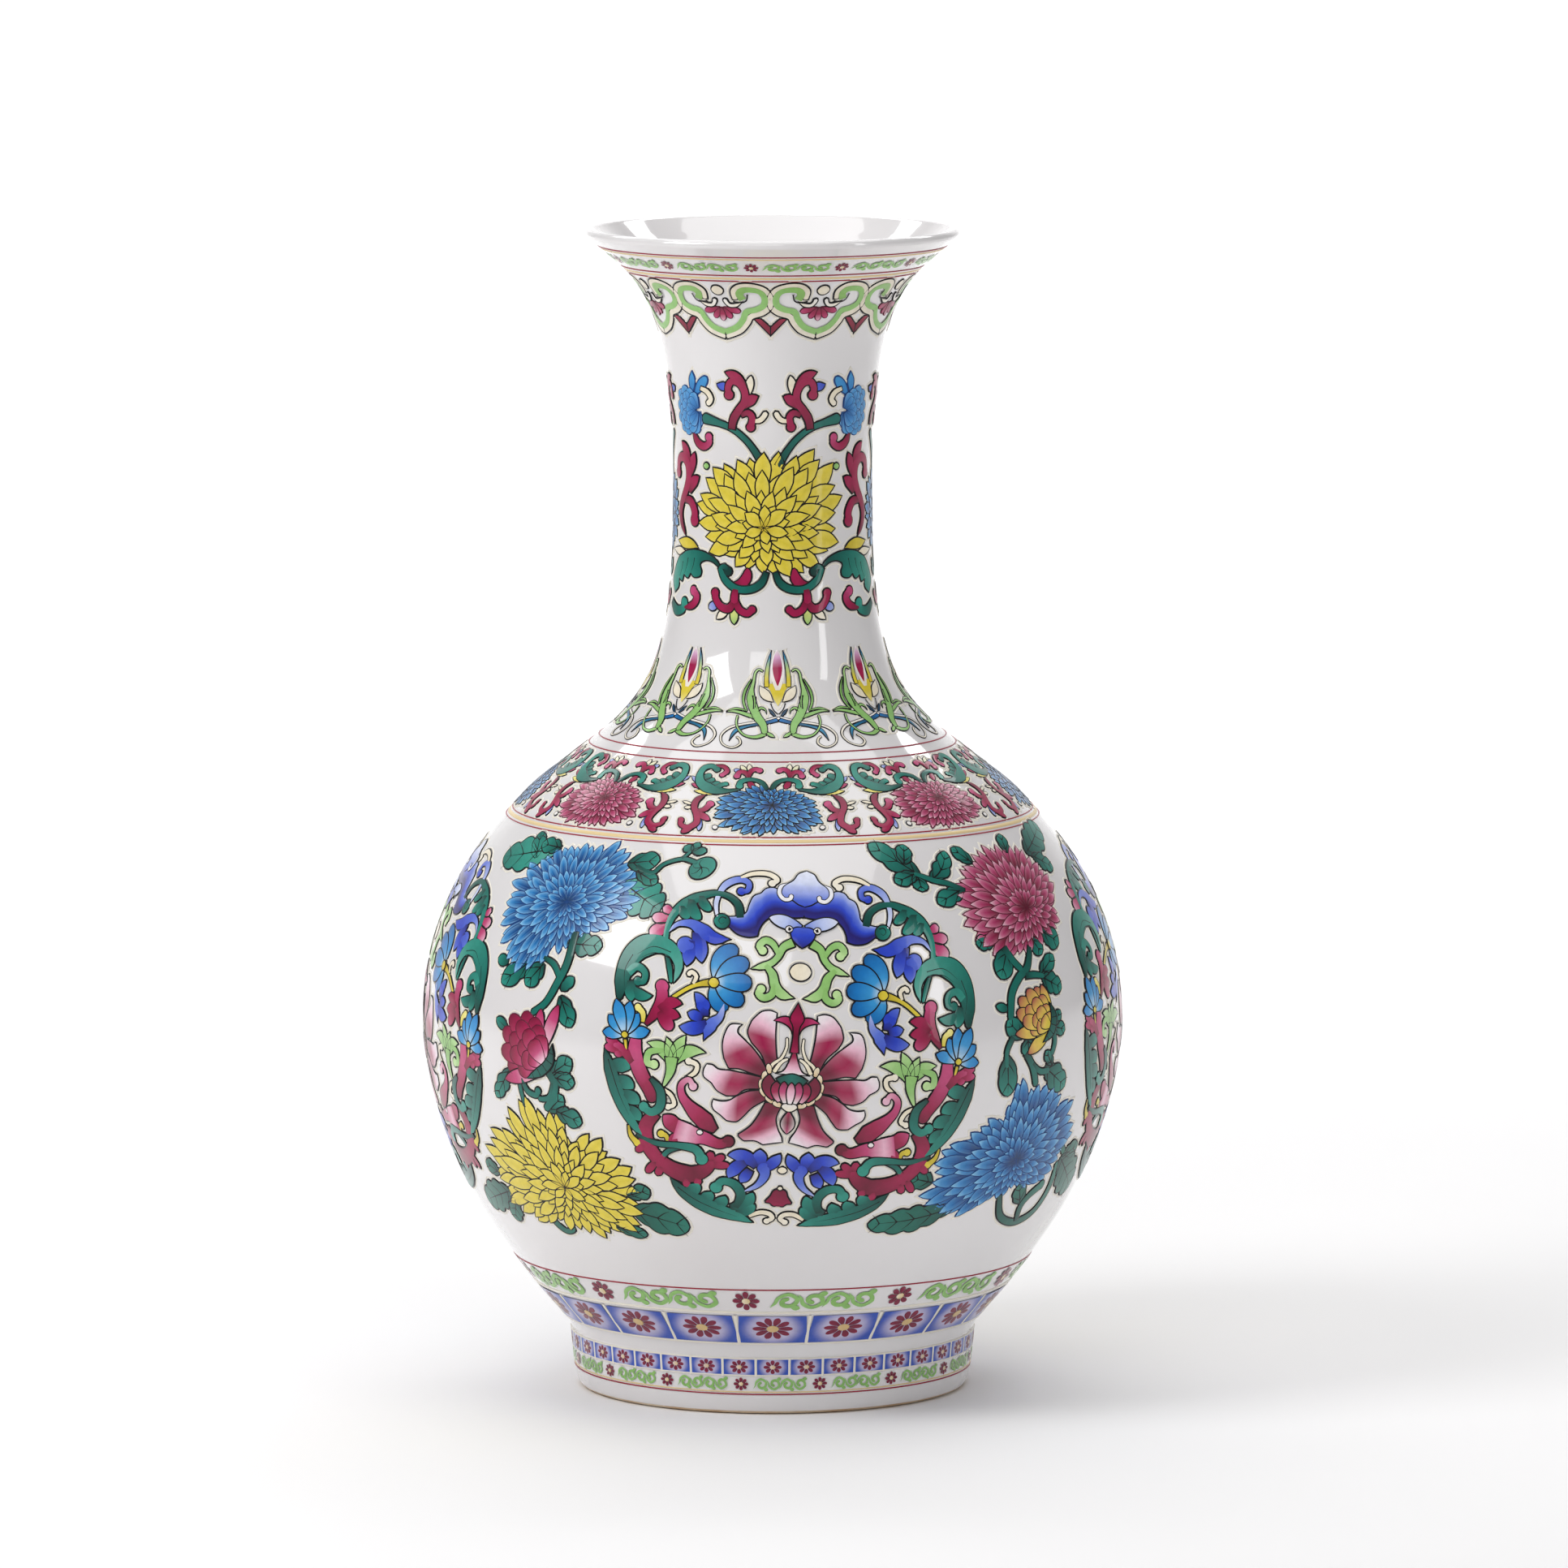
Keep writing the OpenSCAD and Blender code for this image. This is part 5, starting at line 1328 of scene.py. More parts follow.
def bud_head(d, base, rings, tones, enamel, ink, wide):
    """A half-open bud whose petals overlap like scales; rings lists the tips, outermost first."""
    for level, tips in enumerate(rings):
        for k, tip in enumerate(tips):
            d.petal(enamel, base, tip, wide, tones, point=0.45, widest=0.76, waist=0.2,
                layer=0.8 * level + 0.35 * (k % 2), ink=ink, ink_width=0.36, beads=level == 0, across=6)


def calyx(d, points, width, layer):
    """A ribbed green cup under a bud."""
    d.stroke("teal", points, [0.8, width, width, 0.8], [TEAL_DEEP, TEAL], start="point", end="point",
        layer=layer)
    path = along(points, 7)[1:-1]
    way = np.gradient(path, axis=0)
    way /= np.hypot(way[:, 0], way[:, 1])[:, None]
    for (x, y), (dx, dy) in zip(path, way):
        reach = width * 0.38
        d.line([(x - dy * reach, y + dx * reach), (x, y), (x + dy * reach, y - dx * reach)], 0.28,
            layer=layer, taper=False)


def left_spray():
    """Blue chrysanthemum, rose bud and yellow chrysanthemum on a leafy stem."""
    d = Drawing()
    d.unit = 0.75
    stem = [TEAL_DEEP, TEAL, TEAL]
    # Stems.
    with d.merged():
        d.stroke("teal", [(9.4, 42), (9.2, 31), (6.4, 23), (2.2, 15.6), (-4.0, 11.4)], [2.8, 2.8, 2.8, 2.4,
            2.0], stem, layer=0.2)
        d.stroke("teal", [(-2, 31.6), (3.2, 29.6), (7.2, 25)], [1.4, 2.0, 2.0], stem, layer=0.1)
        d.stroke("teal", [(24, 69), (31, 66.6), (34, 70.6), (40, 73), (46, 71.4)], [1.6, 1.6, 1.4, 1.4,
            1.4], stem, layer=0.3)
        d.stroke("teal", [(39.6, 73), (41.4, 76.4)], [1.3, 1.0], stem, layer=0.3, count=9)
        d.stroke("teal", [(3.6, -8), (7.0, -13), (5.4, -18.4), (1.4, -23)], [2.4, 2.8, 2.8, 2.4], stem,
            layer=0.3)
    d.stroke("teal", [(-10.6, -11), (-9.8, -17), (-8.4, -23)], [2.2, 2.0, 2.0], stem, layer=0.3)
    bulb_stroke(d, "teal", [(-8.8, -12.4), (-6.4, -16.8), (-2.4, -18.0), (-1.2, -16.4)], [1.6, 2.0, 2.0,
        2.0], stem, 1.3, layer=0.4)
    bulb_stroke(d, "teal", [(6.6, -12), (4.0, -18.2), (-1.4, -19.2)], [1.6, 2.0, 1.6], stem, layer=0.4)
    d.stroke("teal", [(-6.6, -62), (-9.2, -67.6), (-5.0, -72.4), (-0.6, -71.4), (-1.4, -67.6)], [3.0, 3.2,
        3.0, 2.4, 2.2], DARK_LEAF)
    # Leaves.
    lobed_leaf(d, (-14, 73), (-46, 65.4), 15, 4, tones=[rgb("#5fa898"), TEAL_MID, TEAL])
    lobed_leaf(d, (-24, 68), (-29, 78.6), 8, 2, tones=[TEAL_MID, TEAL])
    lobed_leaf(d, (-13, 73.4), (-24.4, 74), 7.4, 2, layer=0.6)
    lobed_leaf(d, (20, 70), (31.6, 72), 9, 2, layer=0.5)
    lobed_leaf(d, (25, 67), (34.6, 62.6), 5.6, 2, layer=0.4)
    lobed_leaf(d, (22, 62), (40, 52), 15, 4, tones=[rgb("#5fa898"), TEAL_MID, TEAL])
    lobed_leaf(d, (7, 37.6), (22, 37.6), 9, 3)
    d.disc("teal", 48.6, 69.6, 4.6, [TEAL, TEAL_MID], layer=0.5)
    for k in range(5):
        turn = math.radians(110 + 55 * k)
        d.line([(48.2, 69.8), (48.2 + 2.4 * math.cos(turn + 0.4), 69.8 + 2.4 * math.sin(turn + 0.4)),
            (48.6 + 4.0 * math.cos(turn), 69.6 + 4.0 * math.sin(turn))], 0.34, layer=0.5)
    for tip in ((38.0, 78.4), (42.6, 80.2), (47.0, 76.4)):
        d.petal("teal", (41.8, 76.6), tip, 3.6, point=0.45, layer=0.6)
    lobed_leaf(d, (-7, 30), (-21.6, 20.6), 9, 2, layer=0.2)
    lobed_leaf(d, (-1.4, 29.4), (-8.6, 21.0), 8.4, 2, layer=0.4)
    d.petal("teal", (-19.6, 28), (-25.8, 29), 4.6, point=0.45)
    lobed_leaf(d, (8.4, 20.6), (13.2, 25.6), 5, 2, veins=False)
    lobed_leaf(d, (8.6, 18.6), (14.6, 8.0), 8, 2, layer=0.3)
    d.petal("teal", (-15.6, 4.4), (-22.2, 7.8), 4.4, point=0.5)
    d.line([(-16.4, 4.8), (-21.4, 7.4)], 0.3)
    lobed_leaf(d, (-14.6, -9.6), (-24.0, -21.0), 7, 3, layer=0.2)
    lobed_leaf(d, (5.6, -9.6), (15.0, -3.6), 7.6, 2, layer=0.5)
    lobed_leaf(d, (6.6, -10.6), (15.8, -12.0), 7, 2, layer=0.7)
    lobed_leaf(d, (2.4, -23.6), (10.2, -17.2), 7, 2, layer=0.5)
    lobed_leaf(d, (6.4, -23.0), (17.0, -26.6), 8, 2, layer=0.7)
    lobed_leaf(d, (-33, -52), (-41.4, -48.6), 7, 2, tones=DARK_LEAF)
    lobed_leaf(d, (-30, -59), (-53.0, -66.4), 14, 4, tones=DARK_LEAF, layer=0.1)
    lobed_leaf(d, (-28, -62), (-33.4, -72.0), 9, 3, tones=DARK_LEAF, layer=0.3)
    lobed_leaf(d, (29, -54), (38.6, -51.0), 7, 2, tones=DARK_LEAF)
    lobed_leaf(d, (29, -60), (49.0, -66.0), 13.6, 3, tones=DARK_LEAF, depth=0.18)
    lobed_leaf(d, (20, -68), (31.6, -70.4), 6, 2, tones=DARK_LEAF, layer=0.2)
    # Rose bud.
    with d.at(level=0.1):
        for base, tip, wide in (((1.4, -3), (8.4, 15.4), 5.2), ((-1.0, -2), (0.6, 13.4), 5.0), ((3.0, -8.6),
                (-17.6, -13.6), 5.6)):
            d.petal("rose", base, tip, wide, [WHITE, ROSE_PALE, ROSE_MID, ROSE], point=0.6, layer=0.2,
                widest=0.6, waist=0.3, across=6)
        bud_head(d, (3.2, -6.4), (((-7.6, 11.6), (-14.6, 9.6), (-18.2, 4.2), (-19.0, -3.0), (-15.8, -8.6)),
            ((-3.0, 10.0), (-10.4, 7.8), (-14.4, 2.4), (-14.2, -3.6), (-10.2, -9.4)), ((-1.2, 7.4),
            (-6.6, 5.0), (-9.8, 0.0), (-8.2, -5.2)), ((0.4, 4.0), (-3.4, 1.6), (-4.4, -3.4)), ), [WHITE,
            ROSE_PALE, ROSE_MID, ROSE, ROSE_DEEP], "rose", "rose_ink", 7.0)
    calyx(d, [(6.6, 1.2), (5.6, -4.6), (1.6, -8.6), (-5.6, -12.0)], 3.6, 4.4)
    reach = [(9, 31), (29, 28), (45, 29), (68, 27), (89, 22), (113, 26), (132, 27), (150, 29), (172, 33),
        (191, 33), (206, 31), (220, 34), (233, 34), (248, 30), (262, 20), (281, 18.5), (315, 16), (339, 23)]
    chrysanthemum(d, "blue", np.array([1.5, 52.5]), reach, 4, 3.8, BLUE_PETALS, "blue_ink", seed=11,
        ink_width=0.34, stretch=2.0, edge=rgb("#9fd0ee"), edge_share=0.5, point=0.62, grooves=2)
    reach = [(7, 31), (25, 31), (42, 30), (56, 28), (66, 20), (80, 29), (95, 33), (111, 35), (136, 35),
        (151, 38), (164, 42), (176, 40), (188, 38), (203, 33), (215, 29), (235, 19), (267, 18), (297, 22),
        (317, 27), (337, 33), (353, 33)]
    chrysanthemum(d, "yellow", np.array([3.0, -53.0]), reach, 4, 5.0, YELLOWS, seed=5, ink_width=0.5,
        jitter=0.1, stretch=2.0, edge=YELLOW_PALE, edge_share=0.3, point=0.85)
    return d


def right_spray():
    """Rose chrysanthemum, yellow bud and double blue chrysanthemum on a leafy stem."""
    d = Drawing()
    d.unit = 0.75
    stem = [TEAL_DEEP, TEAL, TEAL]
    with d.merged():
        d.stroke("teal", [(-13, 57.6), (-19, 61), (-24, 62.6), (-30.6, 66)], [1.6, 2.0, 2.0, 1.6], stem,
            layer=0.2)
        d.stroke("teal", [(9, 34), (5.4, 27), (0, 23.6), (-4.8, 18), (-6.6, 9)], [2.0, 2.6, 2.8, 2.8, 2.4],
            stem, layer=0.2)
        d.stroke("teal", [(-4, 35), (-1.4, 30), (2.4, 26)], [3.0, 2.6, 2.2], stem, layer=0.3)
        d.stroke("teal", [(3.6, 24), (8.6, 23.8), (13.6, 22.8)], [2.2, 2.0, 1.6], stem, layer=0.3)
        d.stroke("teal", [(14.8, 5), (16.6, -0.6), (14.6, -5.6)], [2.0, 2.0, 1.8], stem, layer=0.3)
        d.stroke("teal", [(-5.8, 3), (-8.8, -2), (-8.6, -8)], [2.0, 1.8, 1.6], stem, layer=0.3)
        d.stroke("teal", [(0.6, -3.6), (4.6, -9), (7.0, -16)], [2.4, 2.6, 2.4], stem, layer=0.2)
        d.stroke("teal", [(4.4, -7.6), (8.6, -10.8), (14, -11)], [1.4, 2.0, 2.0], stem, layer=0.3)
    d.stroke("teal", [(0.8, -58), (5.6, -67.4), (15.8, -71.4), (26.2, -68.6), (31.6, -60), (31.6, -48)],
        [2.4, 3.0, 3.2, 3.2, 3.2, 3.0], DARK_LEAF, layer=0.2)
    bulb_stroke(d, "teal", [(16.4, -70.4), (15.6, -64.6), (18.6, -60.4), (24.6, -56.8)], [2.0, 2.8, 2.8,
        3.2], DARK_LEAF, 1.8, layer=0.5)
    d.stroke("teal", [(24, -40), (31, -42), (37, -47.6)], [3.2, 3.0, 2.6], DARK_LEAF, layer=0.1)
    # Leaves.
    lobed_leaf(d, (-28.6, 65), (-41.6, 79.2), 11, 3, layer=0.2)
    lobed_leaf(d, (-32.4, 70), (-28.4, 78), 6.4, 2, layer=0.5)
    lobed_leaf(d, (-29.6, 66), (-39.4, 62.8), 6.4, 2, layer=0.4)
    lobed_leaf(d, (-29.6, 64.6), (-30.6, 58.6), 6.6, 2, layer=0.3)
    lobed_leaf(d, (-25.6, 62.6), (-13.2, 74), 7, 3, layer=0.3, bend=-0.1)
    lobed_leaf(d, (-13.4, 58.4), (-26.4, 53.6), 7.4, 2, layer=0.4)
    lobed_leaf(d, (-3.4, 68), (-9.6, 75), 6.6, 2, layer=0.1)
    lobed_leaf(d, (17, 70), (18.6, 78.0), 6.4, 2, layer=0.1)
    lobed_leaf(d, (29, 68.6), (52.4, 77.4), 13, 4, layer=0.1)
    lobed_leaf(d, (32, 67), (43.4, 60.4), 8, 3, layer=0.4)
    lobed_leaf(d, (-8, 37.6), (-16.2, 37.6), 6.6, 2, layer=0.1)
    lobed_leaf(d, (-2.8, 34.4), (-8.8, 24.0), 9.4, 2, layer=0.4, depth=0.15)
    lobed_leaf(d, (11, 37), (15.0, 30.6), 7.0, 2, layer=0.2, depth=0.15)
    lobed_leaf(d, (18, 39), (27.0, 33.4), 9.6, 2, layer=0.2)
    lobed_leaf(d, (11.6, 23.4), (21.4, 29.6), 6.6, 2, layer=0.5)
    lobed_leaf(d, (12.2, 22.6), (22.8, 17.4), 8.4, 3, layer=0.6)
    d.petal("teal", (-6.8, 12.8), (-12.8, 14.6), 3.4, point=0.6)
    lobed_leaf(d, (15.6, 4.6), (23.0, 2.6), 6, 2, layer=0.4)
    lobed_leaf(d, (15.8, 4.8), (20.6, 9.8), 5, 2, layer=0.5)
    lobed_leaf(d, (11.2, -9.6), (24.6, -18.2), 10.4, 3, layer=0.4)
    lobed_leaf(d, (15.4, -9.4), (11.4, -3.8), 5, 2, layer=0.5)
    lobed_leaf(d, (-1.0, 2.2), (-8.2, 9.0), 8, 2, layer=0.5, depth=0.12)
    lobed_leaf(d, (1.6, 1.8), (2.0, -4.8), 7.4, 2, layer=0.6, depth=0.12)
    lobed_leaf(d, (-8.6, -3.6), (-7.0, -18.4), 9.4, 2, layer=0.5, depth=0.15)
    lobed_leaf(d, (-33, -49), (-42.0, -46.6), 8.4, 2, tones=DARK_LEAF, layer=0.1)
    lobed_leaf(d, (-20, -60), (-52.6, -64.8), 11.6, 5, tones=DARK_LEAF, layer=0.1, bend=0.05)
    lobed_leaf(d, (33, -47), (53.4, -62.4), 17, 4, tones=DARK_LEAF, layer=0.3)
    lobed_leaf(d, (34, -47), (45.6, -43.4), 8, 2, tones=DARK_LEAF, layer=0.2)
    lobed_leaf(d, (14.4, -63), (10.0, -54.6), 8, 2, tones=DARK_LEAF, layer=0.4)
    # Yellow bud tipped with rose.
    tones = [rgb("#e3cf4a"), YELLOW, rgb("#e6c25a"), rgb("#a83a50")]
    with d.at(level=0.1):
        d.petal("yellow", (14.0, 3.6), (1.6, -3.8), 5.2, tones, point=0.6, layer=0.3, across=6)
        d.petal("yellow", (13.4, 4.2), (-4.6, 3.8), 5.4, tones, point=0.6, layer=0.2, across=6)
        d.petal("yellow", (14.6, 6.0), (11.0, 20.0), 5.2, tones, point=0.6, layer=0.2, across=6)
        bud_head(d, (14.0, 4.6), (((7.4, 19.4), (3.0, 19.0), (-1.8, 16.2), (-3.4, 11.6)), ((9.6, 16.4),
            (5.4, 15.4), (1.0, 12.6), (-0.8, 8.4), (2.6, 5.0)), ((10.6, 12.8), (7.2, 11.8), (4.2, 8.8),
            (6.2, 5.6)), ((11.4, 9.6), (9.0, 7.8)), ), tones, "yellow", "ink", 5.6)
    calyx(d, [(14.2, 13.2), (16.0, 8.0), (14.4, 3.0), (9.6, -0.4)], 3.4, 4.4)
    reach = [(3, 21), (21, 27), (41, 26), (58, 27), (72, 24), (89, 27), (110, 27), (136, 30), (155, 32),
        (170, 34), (189, 33), (208, 28), (231, 22), (248, 17), (284, 14.5), (319, 15.5), (337, 19)]
    chrysanthemum(d, "rose", np.array([13.5, 48.0]), reach, 4, 3.9, ROSE_PETALS, "rose_ink", seed=8,
        ink_width=0.34, stretch=2.0, edge=rgb("#eec3d0"), edge_share=0.25, point=0.85)
    reach = [(9, 35), (34, 34), (46, 32), (62, 32), (75, 28), (89, 29), (101, 32), (113, 24), (123, 20),
        (130, 24), (138, 28), (148, 27), (160, 31), (171, 36), (183, 38), (195, 41), (206, 38), (219, 32),
        (232, 21), (255, 16), (294, 11), (318, 19), (340, 26), (356, 28)]
    chrysanthemum(d, "blue", np.array([3.5, -44.0]), reach, 4, 4.3, BLUE_PETALS, "blue_ink", seed=21,
        ink_width=0.36, stretch=2.0, edge=rgb("#8cc8ec"), edge_share=0.22, point=0.78, grooves=1)
    return d


# ---------------------------------------------------------------- shoulder and bud borders


def shoulder_group(enamel, tones, ink, edge, seed):
    """One chrysanthemum of the shoulder band with the scrolls at its sides."""
    d = Drawing()
    d.unit = 0.5
    d.ink_width = 0.34
    with d.at(size=1.0):
        for d in d.both():
            d.petal("rose", (7.4, 15.2), (5.6, 11.0), 2.6, point=0.5, layer=-0.2)
            bulb_stroke(d, "teal", [(0.8, 10.6), (2.8, 14.2), (6.6, 15.7), (10.0, 14.5), (10.6, 12.2)],
                [1.5, 1.8, 1.5, 1.9, 2.1], bulb=1.25, layer=0.4)
            d.petal("cream", (7.0, 19.4), (7.2, 23.3), 2.0, point=0.6)
            d.petal("cream", (8.2, 19.6), (10.3, 22.6), 1.9, [rgb("#dfe6b8"), CREAM], point=0.6, layer=0.2)
            d.petal("cobalt", (9.8, 19.4), (12.7, 20.6), 2.0, [COBALT, COBALT_PALE], point=0.45)
            bulb_stroke(d, "rose", [(7.4, 16.6), (6.8, 19.4), (5.0, 20.8), (3.6, 20.2)], [1.0, 1.7, 1.8,
                1.9], ROSES_LIGHT, 1.15, layer=0.3)
            bulb_stroke(d, "rose", [(7.5, 16.6), (8.6, 19.0), (10.6, 19.2), (11.6, 17.2)], [1.0, 1.8, 1.8,
                1.9], ROSES_LIGHT, 1.1, layer=0.5)
            bulb_stroke(d, "rose", [(19.2, 22.0), (16.4, 21.8), (15.2, 19.6), (17.0, 17.6)], [1.2, 1.7, 1.7,
                1.5], ROSES_LIGHT, 0.9, layer=0.2)
            for base, tip in (((24.8, 15.4), (21.2, 18.2)), ((23.8, 13.8), (19.8, 16.0)), ((22.2, 12.6),
                    (17.8, 14.2))):
                d.petal("teal", base, tip, 2.8, point=0.5, waist=0.7, bend=0.1)
            bulb_stroke(d, "teal", [(19.6, 10.4), (17.6, 12.4), (15.6, 13.2)], [2.0, 1.9, 1.6], bulb=0.9,
                layer=0.3)
            d.petal("cobalt", (25.4, 13.0), (28.2, 16.6), 2.0, [COBALT, COBALT_PALE], point=0.8)
            d.petal("rose", (23.0, 10.6), (28.4, 12.8), 2.4, ROSES_LIGHT, point=0.7)
            d.petal("yellow", (18.4, 8.3), (27.2, 9.3), 2.6, [YELLOW, YELLOW_PALE], point=0.8, waist=0.1,
                widest=0.5)
            bulb_stroke(d, "teal", [(10.6, 10.6), (16.0, 9.6), (21.4, 10.6), (24.8, 13.4), (25.2, 17.4),
                (23.6, 20.8), (20.8, 21.8), (19.0, 20.4)], [0.9, 1.6, 3.6, 4.8, 3.4, 2.0, 2.0, 2.2],
                [TEAL_DEEP, TEAL, TEAL_MID, TEAL], 1.3, layer=0.6)
            # Rose scroll beside the flower.
            d.petal("cobalt", (24.4, -4.4), (25.2, -9.4), 1.9, [COBALT, COBALT_PALE], point=0.5)
            d.petal("cream", (27.6, 2.6), (31.4, 3.8), 1.5, point=0.7)
            d.petal("cream", (27.6, 1.2), (30.8, 0.8), 1.6, point=0.5)
            with d.merged():
                d.petal("rose", (26.2, -1.0), (21.2, -4.6), 2.7, ROSES_LIGHT, point=0.6, layer=0.3)
                d.petal("rose", (27.0, -7.6), (31.6, -10.6), 2.2, point=0.5, layer=0.3)
                bulb_stroke(d, "rose", [(26.2, -0.6), (23.2, 0.2), (21.0, 3.0)], [1.4, 2.0, 2.2],
                    ROSES_LIGHT, 1.4, layer=0.4)
                bulb_stroke(d, "rose", [(22.6, 7.6), (25.8, 5.0), (27.0, 1.4), (26.0, -2.4), (26.0, -6.0),
                    (29.0, -8.2), (31.8, -7.2), (31.8, -5.0)], [0.9, 1.9, 2.3, 2.3, 2.3, 2.2, 1.9, 1.7],
                    bulb=1.1, layer=0.6, start="point")
            d.disc("cream", 19.2, -7.7, 1.0, [WHITE])
    reach = [(13, 15), (27, 12), (48, 10), (85, 9), (115, 11), (137, 13), (152, 15), (169, 19), (182, 22),
        (196, 22), (206, 21), (224, 19), (237, 15), (265, 13), (291, 13), (312, 17), (328, 19), (341, 20),
        (357, 17)]
    chrysanthemum(d, enamel, np.array([1.2, 2.6]), reach, 4, 2.7, tones, ink, seed=seed, ink_width=0.36,
        stretch=2.1, edge=edge, edge_share=0.15, point=0.85)
    return d


def bud_group():
    """A tall bud on green scrolls, at the foot of the neck."""
    d = Drawing()
    d.unit = 0.5
    d.ink_width = 0.3
    for d in d.both():
        d.stroke("cream", [(0.6, -12.6), (6, -14.4), (12, -15.6), (17.6, -17.4), (21.0, -21.0),
            (20.6, -25.0), (17.2, -26.8), (14.2, -25.0), (14.2, -22.6), (15.4, -21.4)], [0.7, 0.9, 0.9, 0.9,
            0.9, 0.8, 0.8, 0.8, 0.9], [WHITE, CREAM], layer=-0.6, beads=False, ink_width=0.26, count=64)
        d.stroke("blue", [(0.3, -13.8), (5, -15.2), (11, -16.6), (15.6, -18.8), (18.2, -23.6)], [1.4, 1.5,
            1.0, 1.3, 0.3], [BLUE, rgb("#123f63"), rgb("#1f88b3"), rgb("#10324f")], end="point", layer=-0.2,
            beads=False, ink_width=0.26)
        d.stroke("light_green", [(4.8, -20.0), (8.4, -21.6), (12.2, -20.8), (14.4, -18.2), (15.2, -15.2),
            (14.6, -12.0)], [1.8, 1.5, 1.0, 0.9, 0.8, 0.7], layer=0.0, beads=False)
        d.stroke("light_green", [(8.4, -12.8), (12.6, -11.2), (16.0, -10.4), (19.0, -10.8)], [1.6, 1.5, 1.1,
            0.3], end="point", layer=0.1)
        d.stroke("light_green", [(11.4, -10.0), (15.0, -9.3), (18.8, -10.4)], [0.5, 0.9, 0.4], end="point",
            beads=False)
        d.stroke("light_green", [(9.4, 2.2), (11.8, -2.4), (12.4, -6.4), (11.2, -10.4)], [0.4, 1.0, 1.0,
            0.8], [rgb("#6f9f4d"), GREEN], layer=0.0)
        d.stroke("light_green", [(8.2, -10.4), (6.2, -8.9), (4.6, -9.6), (4.2, -11.2)], [1.4, 1.1, 0.9,
            0.4], end="point", layer=0.2)
        d.petal("light_green", (4.8, -19.2), (1.6, -21.6), 1.5, layer=0.2)
        d.stroke("light_green", [(5.2, 5.2), (6.6, 5.9), (7.9, 4.6), (8.5, 1.6), (9.4, -2.0), (9.6, -5.6),
            (8.6, -9.6), (7.4, -12.8), (5.6, -16.0), (5.0, -20.2)], [0.7, 0.9, 1.0, 1.6, 3.0, 3.4, 3.2, 3.2,
            2.6, 2.0], [GREEN_PALE, GREEN, rgb("#8cbf6c")], layer=0.4, count=56)
        d.line([(9.0, -4.0), (8.7, -6.6), (8.8, -9.4)], 0.5, layer=0.4, taper=False)
        d.line([(7.8, -4.4), (7.9, -6.6), (8.2, -8.8)], 0.3, layer=0.4, taper=False)
        d.line([(2.6, -7.0), (1.8, -9.4), (0.2, -11.4)], 0.4, layer=-1.0, taper=False)
        d.petal("blue", (1.0, -12.4), (3.4, -9.2), 1.1, [rgb("#15486b"), rgb("#123650")], layer=-0.6,
            beads=False)
        d.petal("cream", (1.7, -6.4), (6.4, -0.2), 3.5, waist=0.05, widest=0.5, point=0.9, layer=0.6,
            bend=-0.06, beads=False)
        d.stroke("yellow", [(3.9, -0.6), (3.9, 3.0), (3.3, 7.6), (2.0, 13.0)], [1.7, 1.5, 1.1, 0.3],
            [YELLOW, YELLOW, rgb("#b9cf86"), rgb("#2a7fa6"), BLUE_DEEP], end="point", layer=0.1,
            ink_width=0.26)
    side = [(4.6, 0.6), (2.6, -2.2), (1.5, -5.2), (0, -8.2)]
    d.band("yellow", [(-x, y) for x, y in side], side, [YELLOW, YELLOW, rgb("#efe08a")], ink=None,
        layer=0.2)
    d.petal("cream", (0, -1.9), (0, 13.4), 5.0, [rgb("#f0e6da"), WHITE, WHITE], waist=0.3, widest=0.45,
        point=0.8, ink=None, layer=0.5, beads=False)
    d.petal("rose", (0, -0.2), (0, 13.2), 3.4, [rgb("#a01237"), rgb("#a9124a"), ROSE, rgb("#d7a4c8"),
        WHITE], waist=0.1, widest=0.5, point=0.8, ink=None, layer=0.9, beads=False)
    d.disc("cream", 0, -13.2, 0.6, [WHITE], layer=0.6, beads=False)
    return d


# Heights of the middles of the painted groups.
COLLAR_Z, NECK_Z, BUD_Z, SHOULDER_Z, MEDALLION_Z, SPRAY_Z = 394.4, 318.0, 260.0, 219.6, 140.0, 137.0
# The medallions were laid on a few degrees off upright.
MEDALLION_LEAN = 5.0


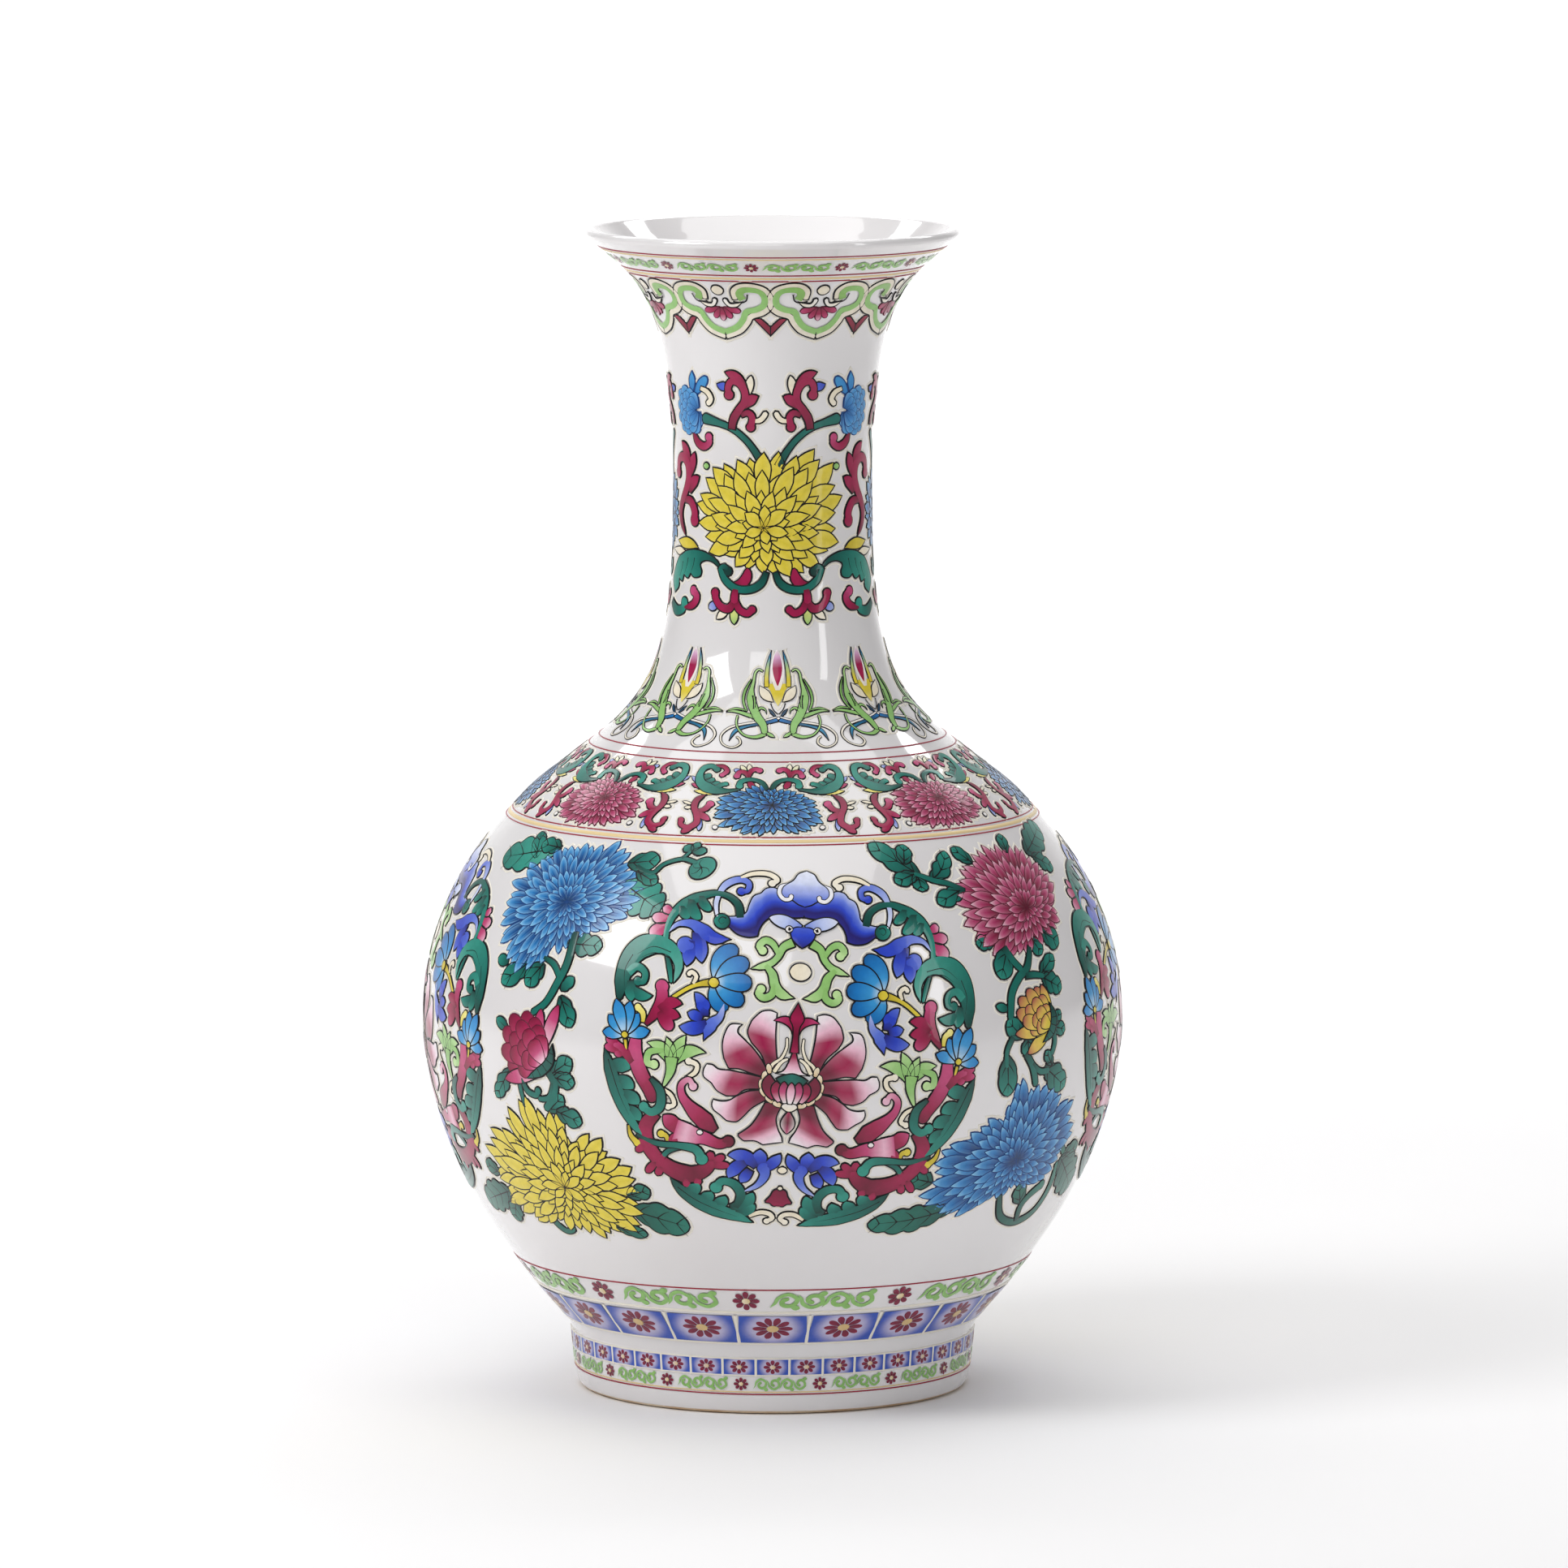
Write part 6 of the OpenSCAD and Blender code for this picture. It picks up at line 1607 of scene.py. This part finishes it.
def make_motifs():
    """Every painted group, laid at each place where it stands."""
    lay_drawing(neck_group(), "neck", [(-1, NECK_Z, 0), (179, NECK_Z, 0)], {
        "yellow": ("neck_yellow_flowers",), "blue": ("neck_blue_flowers",),
        "rose": ("neck_rose_scrolls",), "teal": ("neck_stems",),
    })
    lay_drawing(neck_side_group(), "neck_side", [(89, NECK_Z, 0), (269, NECK_Z, 0)])
    lay_drawing(medallion(), "medallion", [(3.5 + 90 * k, MEDALLION_Z, MEDALLION_LEAN) for k in range(4)], {
        "cobalt": ("medallion_bats", "medallion_cobalt_scrolls"), "teal": ("medallion_wreaths",),
        "rose": ("medallion_lotuses", "medallion_rose_scrolls"), "blue": ("medallion_blooms",),
        "light_green": ("medallion_green_scrolls",),
    })
    lay_drawing(left_spray(), "left_spray", [(-41, SPRAY_Z, 0), (139, SPRAY_Z, 0)], {
        "blue": ("spray_blue_flowers",), "yellow": ("spray_yellow_flowers",),
        "teal": ("spray_leaves",),
    })
    lay_drawing(right_spray(), "right_spray", [(45, SPRAY_Z, 0), (225, SPRAY_Z, 0)], {
        "rose": ("spray_rose_flowers",),
    })
    blue = shoulder_group("blue", BLUE_PETALS, "ink", rgb("#cfe8f5"), 3)
    lay_drawing(blue, "shoulder_blue", [(90 * k - 0.9, SHOULDER_Z, 0) for k in range(4)], {
        "blue": ("shoulder_blue_flowers",), "teal": ("shoulder_leaves",),
    })
    rose = shoulder_group("rose", ROSE_PETALS, "rose_ink", rgb("#f3dbe2"), 6)
    lay_drawing(rose, "shoulder_rose", [(90 * k + 44.1, SHOULDER_Z, 0) for k in range(4)], {
        "rose": ("shoulder_rose_flowers", "shoulder_rose_scrolls"),
    })
    lay_drawing(bud_group(), "bud", [(45 * k + 2.3, BUD_Z, 0) for k in range(8)], {
        "rose": ("bud_tips",), "light_green": ("bud_leaves",),
    })


# ---------------------------------------------------------------- camera, light and floor


def make_light(name, place, target, size, power):
    """A rectangular softbox that faces a point."""
    lamp = bpy.data.lights.new(name, "AREA")
    lamp.shape = "RECTANGLE"
    lamp.size, lamp.size_y = size
    lamp.energy = power
    light = bpy.data.objects.new(name, lamp)
    light.location = place
    light.rotation_euler = (Vector(target) - Vector(place)).to_track_quat("-Z", "Y").to_euler()
    bpy.context.scene.collection.objects.link(light)
    return light


# The floor lies this far under the foot, in metres.
FLOOR_GAP = 0.0002
# The camera stands in front of the vase and looks slightly down on it.
CAMERA_PLACE = (0, -4.2, 0.728)
CAMERA_PITCH = 6.908
CAMERA_LENS = 268.1
CAMERA_SHIFT = 0.00725


def make_stage():
    """Pale floor that sweeps up into a backdrop, softboxes and the camera."""
    width, front, depth, tall, bend, steps = 6.0, -6.0, 4.7, 4.0, 1.2, 16
    profile = [(front, 0.0), (depth - bend, 0.0)]
    for k in range(1, steps + 1):
        a = math.pi / 2 * k / steps
        profile.append((depth - bend + bend * math.sin(a), bend - bend * math.cos(a)))
    profile.append((depth, tall))
    vertices = [(side * width, y, z - FLOOR_GAP) for y, z in profile for side in (-1, 1)]
    mesh = bpy.data.meshes.new("floor")
    mesh.from_pydata(vertices, [], [(2 * i, 2 * i + 1, 2 * i + 3,
        2 * i + 2) for i in range(len(profile) - 1)])
    mesh.polygons.foreach_set("use_smooth", [True] * len(mesh.polygons))
    paper, shader = new_material("paper", rgb("#fbfafa"), roughness=0.9, specular=0.1)
    tint_with_noise(paper, shader, add_noise(paper, scale=3, detail=2), rgb("#faf9f9"), rgb("#fcfbfb"))
    mesh.materials.append(paper)
    floor = bpy.data.objects.new("floor", mesh)
    bpy.context.scene.collection.objects.link(floor)

    middle = (0, 0, 0.2)
    make_light("key_softbox", (-1.24, -0.72, 1.2), middle, (0.7, 0.8), 12)
    make_light("side_softbox", (1.4, -0.98, 0.7), middle, (0.22, 1.3), 3)
    make_light("front_softbox", (-0.5, -3.2, 2.2), middle, (1.8, 1.2), 14)
    make_light("top_softbox", (0.0, -0.1, 2.4), (0, 0.1, 0), (2.4, 2.4), 26)
    make_light("backdrop_wash", (0, 2.4, 2.4), (0, 3.2, 0), (4.0, 1.6), 75)

    world = bpy.data.worlds.new("studio")
    world.use_nodes = True
    background = world.node_tree.nodes["Background"]
    background.inputs["Color"].default_value = (0.93, 0.94, 0.96, 1)
    background.inputs["Strength"].default_value = 0.22
    bpy.context.scene.world = world

    lens = bpy.data.cameras.new("camera")
    lens.lens = CAMERA_LENS
    lens.sensor_width = 36
    lens.shift_x = CAMERA_SHIFT
    lens.clip_end = 50
    camera = bpy.data.objects.new("camera", lens)
    camera.location = CAMERA_PLACE
    camera.rotation_euler = (math.radians(90 - CAMERA_PITCH), 0, 0)
    bpy.context.scene.collection.objects.link(camera)
    bpy.context.scene.camera = camera
    bpy.context.scene.view_settings.view_transform = "Standard"


# ---------------------------------------------------------------- the whole scene


def paint_hidden_parts():
    """Materials of the CAD parts that stay under the glaze."""
    lutings = ("foot_luting", "belly_luting", "shoulder_luting", "neck_luting", "rim_luting")
    for name in lutings + ("base_disc", "lower_body", "upper_body", "lower_neck", "upper_neck",
            "mouth_flare"):
        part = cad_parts[name]
        part.data.materials.clear()
        part.data.materials.append(SLIP if name in lutings else BISCUIT)


make_stage()
paint_hidden_parts()
make_body()
make_ring_lines()
make_borders()
make_collar()
make_motifs()
